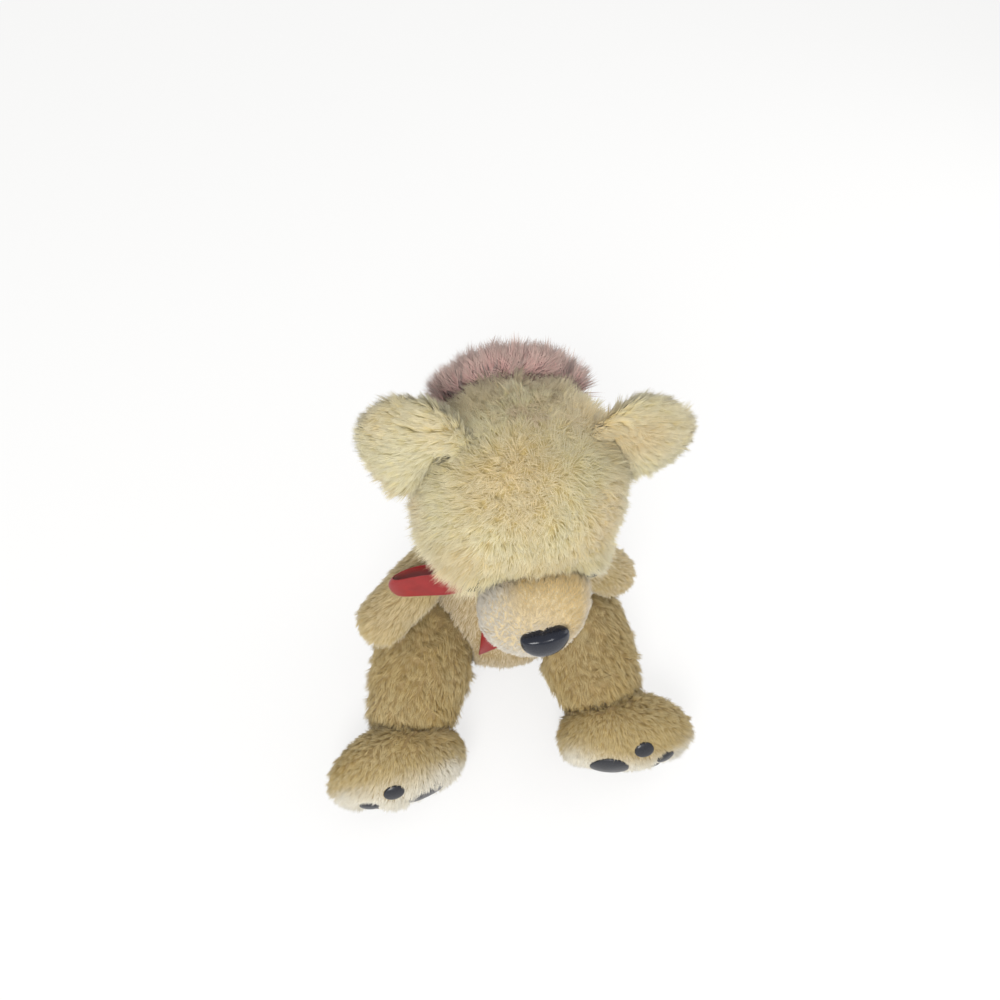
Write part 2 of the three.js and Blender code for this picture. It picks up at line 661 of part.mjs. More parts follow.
// One loop of the bow: a closed band in a drop shape, standing on its edge
function bowLoop(side) {
  const drop = (length, width, from) => {
    const points = [];
    for (let i = 0; i < FINE; i++) {
      const a = (2 * Math.PI * i) / FINE;
      const swell = Math.sin(a) * Math.sin(a / 2);
      points.push(new THREE.Vector2(from + (length * (1 - Math.cos(a))) / 2, (-width / 2) * swell));
    }
    return points;
  };
  const shape = new THREE.Shape(drop(side.loopLength, LOOP_OPEN, 0));
  const inner = side.loopLength / 5;
  shape.holes.push(new THREE.Path(drop(
    side.loopLength - inner - RIBBON_THICK, LOOP_OPEN - 3 * RIBBON_THICK, inner)));
  const band = new THREE.ExtrudeGeometry(shape, { depth: RIBBON_WIDTH, bevelEnabled: false })
    .translate(0, 0, -RIBBON_WIDTH / 2);
  const back = radians(side.loopBack);
  const fall = radians(side.loopDrop);
  const along = vec(side.sign * Math.cos(back) * Math.cos(fall), Math.sin(back) * Math.cos(fall), -Math.sin(fall));
  const across = vec(0, 0, 0).crossVectors(UP, along).normalize();
  const tall = vec(0, 0, 0).crossVectors(along, across);
  const start = knotCentre.clone().add(vec(side.sign * (KNOT_WIDTH / 2 + SEAM_GAP), 0, 0));
  return solid(band.applyMatrix4(frameMatrix(start, along, across, tall)));
}

// One tail of the bow: a strip that lies on the chest, with a slanting end
function bowTail(side) {
  const strip = new THREE.BoxGeometry(2, RIBBON_THICK, 1, TAIL_COLUMNS, 1, TAIL_ROWS);
  const position = strip.getAttribute('position');
  const top = bowZ - KNOT_HEIGHT / 2 - SEAM_GAP;
  for (let i = 0; i < position.count; i++) {
    const t = 0.5 - position.getZ(i);
    const edge = position.getX(i);
    const x = side.sign * (RIBBON_WIDTH / 2 + SEAM_GAP + t * TAIL_SPREAD) + (edge * RIBBON_WIDTH) / 2;
    const z = top - t * (TAIL_LENGTH + edge * side.sign * TAIL_SLANT);
    const chest = depthShare * Math.sqrt(bodyRadius(z) ** 2 - x * x) + 2 * SEAM_GAP + RIBBON_THICK / 2;
    position.setXYZ(i, x, position.getY(i) - chest, z);
  }
  return solid(strip);
}

for (const [name, side] of Object.entries(SIDES)) {
  add(`bow_loop_${name}`, bowLoop(side), satin, bodyGroup);
  add(`bow_tail_${name}`, bowTail(side), satin, bodyGroup);
}

// The head and ears turn together on the neck
headGroup.traverse((piece) => {
  if (piece.isMesh) piece.geometry.rotateZ(radians(HEAD_TURN));
});

export default bear;
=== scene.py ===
import math

import bmesh
import bpy
import numpy as np
from mathutils import Matrix, Vector, noise
from mathutils.bvhtree import BVHTree
from mathutils.kdtree import KDTree


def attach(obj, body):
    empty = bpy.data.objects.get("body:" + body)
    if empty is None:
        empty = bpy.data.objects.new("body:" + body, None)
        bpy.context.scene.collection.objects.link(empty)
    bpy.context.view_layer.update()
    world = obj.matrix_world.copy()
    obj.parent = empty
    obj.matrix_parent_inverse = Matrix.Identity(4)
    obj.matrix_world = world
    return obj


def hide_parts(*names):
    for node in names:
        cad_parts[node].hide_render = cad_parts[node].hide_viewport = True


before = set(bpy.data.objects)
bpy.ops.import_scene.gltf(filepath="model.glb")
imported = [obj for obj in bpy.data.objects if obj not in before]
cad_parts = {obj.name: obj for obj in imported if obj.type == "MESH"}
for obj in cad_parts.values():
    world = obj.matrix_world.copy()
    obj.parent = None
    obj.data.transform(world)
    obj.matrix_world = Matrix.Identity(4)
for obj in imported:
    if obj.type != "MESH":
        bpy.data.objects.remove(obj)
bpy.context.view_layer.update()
scene = bpy.context.scene
MM = 0.001

# Studio: a plain pale floor, a white surround, one large soft lamp above the front and a weaker one opposite.
# The camera looks down on the sitting bear from in front and a little to its right, from standing height.

CAMERA_RISE = math.radians(55)
CAMERA_TURN = math.radians(-8)
CAMERA_ROLL = math.radians(5.5)
CAMERA_REACH = 645 * MM
HEAD_MIDDLE = Vector((0, -22, 300)) * MM
HEAD_IN_FRAME = (518, 484)
FRAME_WIDTH = 1000
FOCAL_PIXELS = 750
SENSOR_MM = 36

ahead = Vector((
    -math.sin(CAMERA_TURN) * math.cos(CAMERA_RISE),
    math.cos(CAMERA_TURN) * math.cos(CAMERA_RISE),
    -math.sin(CAMERA_RISE),
))
level = Vector((math.cos(CAMERA_TURN), math.sin(CAMERA_TURN), 0))
upward = level.cross(ahead)
camera_right = math.cos(CAMERA_ROLL) * level + math.sin(CAMERA_ROLL) * upward
camera_up = math.cos(CAMERA_ROLL) * upward - math.sin(CAMERA_ROLL) * level
off_right = (HEAD_IN_FRAME[0] - FRAME_WIDTH / 2) / FOCAL_PIXELS
off_up = (FRAME_WIDTH / 2 - HEAD_IN_FRAME[1]) / FOCAL_PIXELS
camera_place = HEAD_MIDDLE - CAMERA_REACH * (ahead + off_right * camera_right + off_up * camera_up)
camera = bpy.data.objects.new("camera", bpy.data.cameras.new("camera"))
scene.collection.objects.link(camera)
camera_turn = Matrix((camera_right, camera_up, -ahead)).transposed().to_4x4()
camera.matrix_world = Matrix.Translation(camera_place) @ camera_turn
camera.data.sensor_width = SENSOR_MM
camera.data.lens = SENSOR_MM * FOCAL_PIXELS / FRAME_WIDTH
scene.camera = camera
scene.view_settings.view_transform = "Standard"


def linear(hex_colour):
    """An sRGB hex colour as linear red, green, blue."""
    values = [int(hex_colour[i:i + 2], 16) / 255 for i in (1, 3, 5)]
    return tuple(v / 12.92 if v <= 0.04045 else ((v + 0.055) / 1.055) ** 2.4 for v in values)


def put(tree, kind, inputs=None, **settings):
    """Adds a node: settings are its properties, inputs are values or (node, output) links by socket."""
    made = tree.nodes.new(kind)
    for key, value in settings.items():
        setattr(made, key, value)
    for key, value in (inputs or {}).items():
        if isinstance(value, tuple) and isinstance(value[0], bpy.types.Node):
            tree.links.new(value[0].outputs[value[1]], made.inputs[key])
        else:
            made.inputs[key].default_value = value
    return made


def new_material(name):
    """An empty node material and its tree."""
    material = bpy.data.materials.new(name)
    material.use_nodes = True
    material.node_tree.nodes.clear()
    return material, material.node_tree


def as_object(name, mesh):
    """Links a mesh as a new object at the origin."""
    made = bpy.data.objects.new(name, mesh)
    scene.collection.objects.link(made)
    return made


def from_bmesh(name, bm):
    """Makes a bmesh a new object at the origin, and frees it."""
    mesh = bpy.data.meshes.new(name)
    bm.to_mesh(mesh)
    bm.free()
    return as_object(name, mesh)


FLOOR_REACH = 6.0
FLOOR_COLOUR = "#F6F5F2"
FLOOR_OWN_WHITE = 0.72

floor_bm = bmesh.new()
bmesh.ops.create_grid(floor_bm, x_segments=1, y_segments=1, size=FLOOR_REACH / 2)
floor = from_bmesh("floor", floor_bm)

# Painted board: matt white that still shows the bear's soft shadow
painted_board, tree = new_material("painted_board")
paths = put(tree, "ShaderNodeLightPath")
seen = put(tree, "ShaderNodeMath", {0: (paths, "Is Camera Ray"), 1: (paths, "Is Glossy Ray")},
           operation="MAXIMUM")
own = put(tree, "ShaderNodeMath", {0: (seen, 0), 1: FLOOR_OWN_WHITE}, operation="MULTIPLY")
matt = put(tree, "ShaderNodeBsdfDiffuse", {"Color": (*linear(FLOOR_COLOUR), 1)})
white = put(tree, "ShaderNodeEmission", {"Color": (1, 1, 1, 1), "Strength": 1.0})
both = put(tree, "ShaderNodeMixShader", {0: (own, 0), 1: (matt, 0), 2: (white, 0)})
put(tree, "ShaderNodeOutputMaterial", {"Surface": (both, 0)})
floor.data.materials.append(painted_board)

SURROUND_LIGHT = 0.71
world = bpy.data.worlds.new("surround")
scene.world = world
world.use_nodes = True
tree = world.node_tree
tree.nodes.clear()
paths = put(tree, "ShaderNodeLightPath")
seen = put(tree, "ShaderNodeMath", {0: (paths, "Is Camera Ray"), 1: (paths, "Is Transmission Ray")},
           operation="MAXIMUM")
dim = put(tree, "ShaderNodeBackground", {"Color": (1, 1, 1, 1), "Strength": SURROUND_LIGHT})
bright = put(tree, "ShaderNodeBackground", {"Color": (1, 1, 1, 1), "Strength": 1.0})
both = put(tree, "ShaderNodeMixShader", {0: (seen, 0), 1: (dim, 0), 2: (bright, 0)})
put(tree, "ShaderNodeOutputWorld", {"Surface": (both, 0)})

LAMPS = {
    "key_lamp": {"place": (-0.4, -1.45, 1.5), "size": 0.9, "power": 24.0},
    "fill_lamp": {"place": (1.3, 0.5, 1.1), "size": 1.2, "power": 7.0},
}
for name, lamp in LAMPS.items():
    data = bpy.data.lights.new(name, "AREA")
    data.shape = "DISK"
    data.size = lamp["size"]
    data.energy = lamp["power"]
    place = Vector(lamp["place"])
    aim = (place - HEAD_MIDDLE).to_track_quat("Z", "Y").to_matrix().to_4x4()
    lamp_object = as_object(name, data)
    lamp_object.matrix_world = Matrix.Translation(place) @ aim

# Body: a pear-shaped bag of knitted plush, sewn from panels and stuffed with polyester until it stands
# by itself. Its pile is about 10 mm long and combed downwards, and it is pressed short under the ribbon
# and where the limbs lie. The cloth is puffed here by pressure, as the stuffing does it.

GROW = 0.6 * MM
WELD = 1e-6
VOXEL = 5 * MM
COVER_DEPTH = 3.2 * MM
SMOOTHING = 0.5
SMOOTHING_ROUNDS = 6
FLOOR_SKIN = 0.8 * MM
CLOTH_QUALITY = 4
CLOTH_MASS = 0.2
CLOTH_STIFFNESS = 15
STUFFING_PRESSURE = 4.0
STUFFING_FRAMES = 12
STUFFING_REACH = 3 * MM


def apply_modifiers(piece):
    """Replaces the piece's mesh by what its modifiers make of it."""
    bpy.context.view_layer.update()
    shown = piece.evaluated_get(bpy.context.evaluated_depsgraph_get())
    mesh = bpy.data.meshes.new_from_object(shown)
    mesh.name = piece.name
    piece.modifiers.clear()
    piece.data = mesh


def shade_smooth(piece):
    """Shades all faces of the piece as one smooth surface."""
    piece.data.polygons.foreach_set("use_smooth", np.ones(len(piece.data.polygons), bool))


def coordinates(mesh, what="co"):
    """The mesh's vertex places, or its vertex normals, as an array."""
    values = np.empty(len(mesh.vertices) * 3, np.float32)
    mesh.vertices.foreach_get(what, values)
    return values.reshape(-1, 3).astype(float)


def move_points(mesh, places):
    """Moves the mesh's vertices to the places."""
    mesh.vertices.foreach_set("co", places.ravel().astype(np.float32))
    mesh.update()


def largest_island(bm):
    """Deletes all but the island with the most vertices."""
    left = set(bm.verts)
    islands = []
    while left:
        island = {left.pop()}
        edge = list(island)
        while edge:
            beside = {e.other_vert(v) for v in edge for e in v.link_edges} & left
            left -= beside
            island |= beside
            edge = list(beside)
        islands.append(island)
    islands.sort(key=len)
    spare = [v for island in islands[:-1] for v in island]
    bmesh.ops.delete(bm, geom=spare, context="VERTS")


def stuff(piece):
    """Swells the cloth by pressure for a few frames, each point by no more than STUFFING_REACH."""
    before = coordinates(piece.data)
    cloth = piece.modifiers.new("stuffing", "CLOTH")
    cloth.settings.quality = CLOTH_QUALITY
    cloth.settings.mass = CLOTH_MASS
    cloth.settings.tension_stiffness = CLOTH_STIFFNESS
    cloth.settings.compression_stiffness = CLOTH_STIFFNESS
    cloth.settings.use_pressure = True
    cloth.settings.uniform_pressure_force = STUFFING_PRESSURE
    cloth.settings.effector_weights.gravity = 0
    cloth.collision_settings.use_collision = False
    cloth.point_cache.frame_start = 1
    cloth.point_cache.frame_end = STUFFING_FRAMES
    for number in range(1, STUFFING_FRAMES + 1):
        scene.frame_set(number)
    apply_modifiers(piece)
    scene.frame_set(1)
    moved = coordinates(piece.data) - before
    far = np.linalg.norm(moved, axis=1, keepdims=True)
    moved *= np.minimum(1, STUFFING_REACH / np.maximum(far, 1e-9))
    move_points(piece.data, before + moved)


def stuffed_cover(name, nodes, depth=COVER_DEPTH, voxel=VOXEL, rounds=SMOOTHING_ROUNDS):
    """One closed cloth skin from copies of the CAD nodes, drawn in by depth and then puffed."""
    bm = bmesh.new()
    for node in nodes:
        bm.from_mesh(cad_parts[node].data)
    bmesh.ops.remove_doubles(bm, verts=bm.verts, dist=WELD)
    bm.normal_update()
    for vert in bm.verts:
        vert.co += vert.normal * GROW
    piece = from_bmesh(name, bm)
    remesh = piece.modifiers.new("cloth", "REMESH")
    remesh.mode = "VOXEL"
    remesh.voxel_size = voxel
    apply_modifiers(piece)
    bm = bmesh.new()
    bm.from_mesh(piece.data)
    largest_island(bm)
    for _ in range(rounds):
        bmesh.ops.smooth_vert(bm, verts=bm.verts, factor=SMOOTHING,
                              use_axis_x=True, use_axis_y=True, use_axis_z=True)
    bm.normal_update()
    for vert in bm.verts:
        vert.co -= vert.normal * depth
        vert.co.z = max(vert.co.z, FLOOR_SKIN)
    bm.to_mesh(piece.data)
    bm.free()
    stuff(piece)
    lifted = coordinates(piece.data)
    lifted[:, 2] = np.maximum(lifted[:, 2], FLOOR_SKIN)
    move_points(piece.data, lifted)
    shade_smooth(piece)
    piece.data.materials.clear()
    return piece


def unit(vectors):
    """Each row scaled to length one."""
    return vectors / np.maximum(np.linalg.norm(vectors, axis=1, keepdims=True), 1e-12)


def along_surface(vectors, normals):
    """The part of each vector that lies in the surface."""
    return vectors - normals * np.sum(vectors * normals, axis=1, keepdims=True)


def tree_of(piece):
    """A search tree of a closed piece's faces."""
    bm = bmesh.new()
    bm.from_mesh(piece.data)
    faces = BVHTree.FromBMesh(bm)
    bm.free()
    return faces


def distance_to(points, node):
    """How far each point is from a CAD node's surface."""
    solid = tree_of(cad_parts[node])
    return np.array([solid.find_nearest(Vector(p))[3] for p in points])


def outside(points, node, margin):
    """Which points are further than the margin from a CAD node's surface."""
    places = coordinates(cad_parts[node].data)
    boxed = np.all((points > places.min(0) - margin) & (points < places.max(0) + margin), axis=1)
    clear = np.ones(len(points), bool)
    clear[boxed] = distance_to(points[boxed], node) > margin
    return clear


def scatter(skin, count, rng):
    """Points spread evenly by area over a skin, with the skin's normals."""
    mesh = skin.data
    mesh.calc_loop_triangles()
    corners = np.empty(len(mesh.loop_triangles) * 3, np.int32)
    mesh.loop_triangles.foreach_get("vertices", corners)
    corners = corners.reshape(-1, 3)
    places = coordinates(mesh)
    normals = coordinates(mesh, "normal")
    a, b, c = (places[corners[:, k]] for k in range(3))
    area = np.linalg.norm(np.cross(b - a, c - a), axis=1) / 2
    steps = (np.arange(count) + rng.random(count)) / count * area.sum()
    pick = np.minimum(np.searchsorted(np.cumsum(area), steps), len(area) - 1)
    first = np.sqrt(rng.random(count))
    second = rng.random(count)
    weights = np.stack([1 - first, first * (1 - second), first * second], axis=1)
    points = np.einsum("nk,nkd->nd", weights, places[corners[pick]])
    return points, unit(np.einsum("nk,nkd->nd", weights, normals[corners[pick]]))


def strand_template():
    """A spindle of six faces: a root point, three points round the middle and a tip point."""
    bm = bmesh.new()
    bmesh.ops.create_uvsphere(bm, u_segments=3, v_segments=2, radius=1)
    bm.verts.ensure_lookup_table()
    points = np.array([v.co for v in bm.verts], float)
    faces = np.array([[v.index for v in f.verts] for f in bm.faces], int)
    bm.free()
    return points, faces


STRAND_BEND = 0.42
SPINDLE, SPINDLE_FACES = strand_template()
IS_ROOT = SPINDLE[:, 2] < -0.5
IS_TIP = SPINDLE[:, 2] > 0.5
ALONG = np.where(IS_ROOT, 0.0, np.where(IS_TIP, 1.0, STRAND_BEND))
ACROSS = np.where(IS_ROOT | IS_TIP, 0.5, (1 + SPINDLE[:, 0]) / 2)

# A strand's normals follow the skin, its own round and the sky
NAP = 0.85
EDGE = 0.3
SKY = np.array([0, -0.05, 0.5])

# Shades and tints that strands differ in, and how they lie in the UV map
SHADES = 8
TINTS = 8
DARKEST = 0.86
SHADE_RANGE = 0.26
CELL_MARGIN = 0.06


def by_end(at_root, at_tip, between):
    """One value for each of a strand's points: that of its root, of its tip, or of its middle."""
    return np.where(IS_ROOT[None, :, None], at_root, np.where(IS_TIP[None, :, None], at_tip, between))


def paint_strands(mesh, corners, shade, tint, colours):
    """Colours the strands from root to tip. The darker roots are painted shade deep in the pile,
    the paler tips painted light on the strand ends. In the UV map each shade of each tint has its own cell.
    """
    share = tint[:, None] / (TINTS - 1)
    light = (DARKEST + SHADE_RANGE * shade / (SHADES - 1))[:, None]
    steps = []
    for plain, tinted in zip(colours[0], colours[1]):
        mixed = np.array(linear(plain)) * (1 - share) + np.array(linear(tinted)) * share
        steps.append((mixed * light)[:, None])
    colour = by_end(steps[0], steps[2], steps[1])
    rgba = np.concatenate([np.clip(colour, 0, 1), np.ones((len(shade), len(SPINDLE), 1))], axis=2)
    layer = mesh.color_attributes.new("pile_colour", "FLOAT_COLOR", "POINT")
    layer.data.foreach_set("color", rgba.ravel().astype(np.float32))
    inside = 1 - 2 * CELL_MARGIN
    u = (tint[:, None] + CELL_MARGIN + inside * ACROSS[None]) / TINTS
    v = (shade[:, None] + CELL_MARGIN + inside * ALONG[None]) / SHADES
    uv = np.stack([u, v], axis=2).reshape(-1, 2)[corners]
    mesh.uv_layers.new(name="OFBake").data.foreach_set("uv", uv.ravel().astype(np.float32))


def strand_mesh(name, strands, colours):
    """A mesh of spindles. Their normals lean to the skin's and to the sky, as the light in deep pile does."""
    start, middle, tip, normal, later, side, other_side = (
        strands[key][:, None] for key in ("start", "middle", "tip", "normal", "later", "side", "other_side"))
    thick = strands["thick"][:, None, None]
    ring = middle + thick * (SPINDLE[None, :, :1] * side + SPINDLE[None, :, 1:2] * other_side)
    points = by_end(start, tip, ring)
    first_points = len(SPINDLE) * np.arange(len(start))
    faces = (SPINDLE_FACES[None] + first_points[:, None, None]).reshape(-1, 3)
    mesh = bpy.data.meshes.new(name)
    mesh.vertices.add(len(start) * len(SPINDLE))
    mesh.vertices.foreach_set("co", points.ravel().astype(np.float32))
    mesh.loops.add(faces.size)
    mesh.loops.foreach_set("vertex_index", faces.ravel().astype(np.int32))
    mesh.polygons.add(len(faces))
    mesh.polygons.foreach_set("loop_start", np.arange(0, faces.size, 3, dtype=np.int32))
    mesh.polygons.foreach_set("use_smooth", np.ones(len(faces), bool))
    mesh.update(calc_edges=True)
    soft = by_end(normal, normal + later, normal * NAP + (points - middle) / thick * EDGE) + SKY
    mesh.normals_split_custom_set_from_vertices(unit(soft.reshape(-1, 3)))
    paint_strands(mesh, faces.ravel(), strands["shade"], strands["tint"], colours)
    return mesh


STRANDS_A_PIECE = 33000
SEAT_BARE = 2 * MM
ROOT_SINK = 1 * MM

# How far a lock and a strand of its own turn from the comb, at first and further out
SWIRL_WIDE = 30 * MM
SWIRL_SEED = 4
LOCK_STRAY = 0.5
OWN_STRAY = 0.3
LATER_LEAN = 0.8
LATER_STRAY = 0.5

# How much strands and locks differ, and how far a lock's strands stay apart where they gather
STRAND_REACH = (0.78, 1.12)
LOCK_REACH = (0.85, 0.3)
TIPS_APART = 0.3
MIDDLES_APART = 0.75
MIDDLES_GATHER = 0.4
STRAND_THICK = (0.75, 1.25)
LOCK_SHADE = 0.2
OWN_SHADE = 0.16
OWN_TINT = 0.06

# Without a seed, noise_vector's offsets follow the clock
noise.seed_set(SWIRL_SEED)


def at(value, points, normals):
    """A number as it is, or what a function gives at the points, as a column."""
    return value(points, normals)[:, None] if callable(value) else value


def cell(share, count):
    """The number of the cell, of count cells from 0 to 1, that each share is in."""
    return np.clip(np.round(share * (count - 1)), 0, count - 1).astype(int)


def pile(name, skin, body, material, colours, count, seed, length, comb, lean=0.55, width=0.6 * MM,
         lock=9, gather=0.35, stray=0.22, droop=0.12, keep=None, clear_of=None, tint=None):
    """Pile on a skin: strands that follow a comb, drawn together in locks, in pieces of limited size.

    Length, lean and stray are numbers or functions of places and normals, as comb, keep and tint are.
    Lock is how many strands a lock has, gather how far its tips come together, and clear_of the room
    that the roots leave to CAD nodes.
    """
    rng = np.random.default_rng(seed)
    root, normal = scatter(skin, count, rng)
    kept = root[:, 2] > SEAT_BARE
    if keep is not None:
        kept &= keep(root, normal)
    root, normal = root[kept], normal[kept]
    for node, room in (clear_of or {}).items():
        clear = outside(root, node, room)
        root, normal = root[clear], normal[clear]
    number = len(root)
    leaders = rng.choice(number, max(1, number // lock), replace=False)
    finder = KDTree(len(leaders))
    for i, leader in enumerate(leaders):
        finder.insert(root[leader], i)
    finder.balance()
    owner = np.array([finder.find(p)[1] for p in root])
    leader = leaders[owner]

    flow = along_surface(comb(root, normal), normal)
    away = Vector((seed, 0, 0))
    swirl = np.array([noise.noise_vector(Vector(p) / SWIRL_WIDE + away) for p in root[leaders]])
    roam = at(stray, root, normal)
    lock_stray = (rng.normal(size=(len(leaders), 3)) * LOCK_STRAY + swirl)[owner] * roam
    own_stray = rng.normal(size=(number, 3)) * roam * OWN_STRAY
    wander = along_surface(lock_stray + own_stray, normal)
    lie = at(lean, root, normal)
    heading = unit(normal * (1 - lie) + flow * lie + wander)
    later = unit(heading + flow * lie * LATER_LEAN + wander * LATER_STRAY - np.array([0, 0, droop]))

    reach = np.ravel(at(length, root, normal)) * rng.uniform(*STRAND_REACH, number)
    reach *= (LOCK_REACH[0] + LOCK_REACH[1] * rng.random(len(leaders)))[owner]
    start = root - normal * ROOT_SINK
    middle = start + heading * (reach * STRAND_BEND)[:, None]
    tip = middle + later * (reach * (1 - STRAND_BEND))[:, None]
    apart = root - root[leader]
    tip += gather * (tip[leader] + TIPS_APART * apart - tip)
    middle += MIDDLES_GATHER * gather * (middle[leader] + MIDDLES_APART * apart - middle)
    for points in (middle, tip):
        points[:, 2] = np.maximum(points[:, 2], FLOOR_SKIN + width)
    side = unit(np.cross(heading, rng.normal(size=(number, 3))))
    thick = width / 2 * rng.uniform(*STRAND_THICK, number)
    lock_shade = LOCK_SHADE * rng.normal(size=len(leaders))[owner]
    shade = cell(0.5 + lock_shade + OWN_SHADE * rng.normal(size=number), SHADES)
    hue = np.zeros(number, int)
    if tint is not None:
        hue = cell(tint(root, normal) + OWN_TINT * rng.normal(size=number), TINTS)

    strands = {
        "start": start, "middle": middle, "tip": tip, "normal": normal, "later": later, "side": side,
        "other_side": np.cross(heading, side), "thick": thick, "shade": shade, "tint": hue,
    }
    around = np.arctan2(root[:, 1] - root[:, 1].mean(), root[:, 0] - root[:, 0].mean())
    order = np.argsort(around, kind="stable")
    parts = math.ceil(number / STRANDS_A_PIECE)
    for part, chosen in enumerate(np.array_split(order, parts), start=1):
        part_name = name if parts == 1 else f"{name}_{part}"
        mesh = strand_mesh(part_name, {key: rows[chosen] for key, rows in strands.items()}, colours)
        mesh.materials.append(material)
        piece = as_object(part_name, mesh)
        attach(piece, body)


PATCHES_APART = 7.3


def patchy(reach, level, depth, seed):
    """A tint in soft irregular patches between 0 and 1, about reach wide."""
    away = Vector((seed * PATCHES_APART, 0, 0))

    def tint(points, normals):
        values = np.array([noise.noise(Vector(p) / reach + away) for p in points])
        return np.clip(level + depth * values, 0, 1)

    return tint


def pile_material(name, roughness, sheen):
    """Polyester pile: each strand carries its own colour from root to tip, with a soft sheen along it."""
    material, tree = new_material(name)
    colour = put(tree, "ShaderNodeAttribute", attribute_name="pile_colour")
    strand = put(tree, "ShaderNodeBsdfPrincipled", {
        "Base Color": (colour, "Color"), "Roughness": roughness, "Specular IOR Level": 0.25,
        "Sheen Weight": sheen, "Sheen Roughness": 0.5})
    put(tree, "ShaderNodeOutputMaterial", {"Surface": (strand, 0)})
    return material


KNIT = 1.1 * MM
KNIT_RELIEF = 0.4 * MM


def backing_material(name, hex_colour, dark_hex):
    """Knitted polyester backing: rows of small loops, drawn coarse enough to show between the strands."""
    material, tree = new_material(name)
    place = put(tree, "ShaderNodeTexCoord")
    loops = put(tree, "ShaderNodeTexVoronoi", {"Vector": (place, "Object"), "Scale": 1 / KNIT})
    tone = put(tree, "ShaderNodeMix", {
        "Factor": (loops, "Distance"), 6: (*linear(hex_colour), 1), 7: (*linear(dark_hex), 1),
    }, data_type="RGBA")
    bump = put(tree, "ShaderNodeBump", {
        "Height": (loops, "Distance"), "Strength": 0.5, "Distance": KNIT_RELIEF})
    cloth = put(tree, "ShaderNodeBsdfPrincipled", {
        "Base Color": (tone, 2), "Roughness": 0.95, "Normal": (bump, 0), "Sheen Weight": 0.2})
    put(tree, "ShaderNodeOutputMaterial", {"Surface": (cloth, 0)})
    return material


# Root, middle and tip colours: the darker roots are painted shade deep in the pile, the paler tips painted
# light
FAWN_PILE = [("#A88E5F", "#BCA579", "#D8C8A4"), ("#BBA47A", "#CDB994", "#E2D6BC")]
tan_long_pile = pile_material("tan_long_pile", roughness=0.62, sheen=0.35)
tan_backing = backing_material("tan_knit_backing", "#B29A6C", "#9D865A")
belly_patches = patchy(reach=38 * MM, level=0.8, depth=0.6, seed=3)
BODY_PILE = 9.5 * MM
BODY_PILE_BY_LIMB = 5.5 * MM
BODY_PILE_PRESSED = 4 * MM
PILE_ROOM = 5 * MM
LIMBS = ("leg_left_cover", "leg_right_cover", "arm_left_cover", "arm_right_cover")
RIBBON_LOW = 192 * MM
RIBBON_HIGH = 221 * MM
TAIL_TOP = 194 * MM
TAIL_LOW = 64 * MM
TAIL_FALL = 116 * MM
TAIL_DRIFT = 7 * MM
TAIL_SLOPE = TAIL_DRIFT / TAIL_FALL
TAIL_SIDE = 11.4 * MM
TAIL_COVER = 14 * MM


def one_way(x, y, z):
    """A comb that points the same way everywhere."""
    def comb(points, normals):
        return np.tile(np.array([x, y, z], float), (len(points), 1))

    return comb


def body_pile_length(points, normals):
    """The pile is pressed flat under the ribbon and its two tails, and where a limb lies against it."""
    length = np.full(len(points), BODY_PILE)
    x, y, z = points.T
    banded = (z > RIBBON_LOW) & (z < RIBBON_HIGH)
    tail_line = TAIL_SIDE + (TAIL_TOP - z) * TAIL_SLOPE
    under_tail = (np.abs(np.abs(x) - tail_line) < TAIL_COVER) & (y < 0) & (z > TAIL_LOW) & (z < TAIL_TOP)
    length[banded | under_tail] = BODY_PILE_PRESSED
    for limb in LIMBS:
        length[distance_to(points, limb) < PILE_ROOM] = BODY_PILE_BY_LIMB
    return length


body_skin = stuffed_cover("body_skin", ["body_cover", "body_filling"])
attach(body_skin, "body")
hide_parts("body_cover", "body_filling")
body_skin.data.materials.append(tan_backing)
pile("body_pile", body_skin, "body", tan_long_pile, FAWN_PILE, count=35000, seed=41,
     length=body_pile_length, comb=one_way(0, -0.1, -1), tint=belly_patches,
     clear_of={"head_cover": PILE_ROOM})

# Head: a large round bag of cream plush, firmly stuffed, sewn to the body round the neck.
# Its pile is 13 to 17 mm long and parts from a whorl on the forehead to all sides. It is longer and stands
# up more over the eyes, round the ears and on the right cheek.

# Root, middle and tip colours: the darker roots are painted shade deep in the pile, the paler tips painted
# light
CREAM_PILE = [("#C0AE76", "#D3C693", "#E9E2C3"), ("#C2A369", "#D6BA86", "#E9D8B0")]
cream_long_pile = pile_material("cream_long_pile", roughness=0.62, sheen=0.3)
cream_backing = backing_material("cream_knit_backing", "#D2BD85", "#BDA467")
cream_patches = patchy(reach=42 * MM, level=0.3, depth=0.8, seed=5)
HEAD_DEPTH = 4.5 * MM
FACE_PILE = 13 * MM
BACK_PILE_EXTRA = 4 * MM
BACK_FROM = -70 * MM
BACK_FADE = 60 * MM
HEAD_LEAN = 0.62
WHORL = np.array([6.0, -74.0, 374.0]) * MM
WHORL_REACH = 90 * MM
HEAD_STRAY = 0.28
TOUSLED_EXTRA = 0.5
TOUSLED_REACH = 55 * MM
CHEEK = np.array([-68.0, -69.0, 286.0]) * MM
BROW = np.array([12.0, -106.0, 291.0]) * MM
EYE_POINTS = np.array([[61.1, -84.3, 262.0], [-41.9, -95.1, 262.0]]) * MM
LONG_OVER_EYE = np.array([0, 0, 10]) * MM
UPRIGHT_OVER_EYE = np.array([0, 0, 12]) * MM
EAR_ROOTS = {"left": np.array([[71.2, -25.5, 357.9]]) * MM, "right": np.array([[-64.4, -39.7, 357.9]]) * MM}

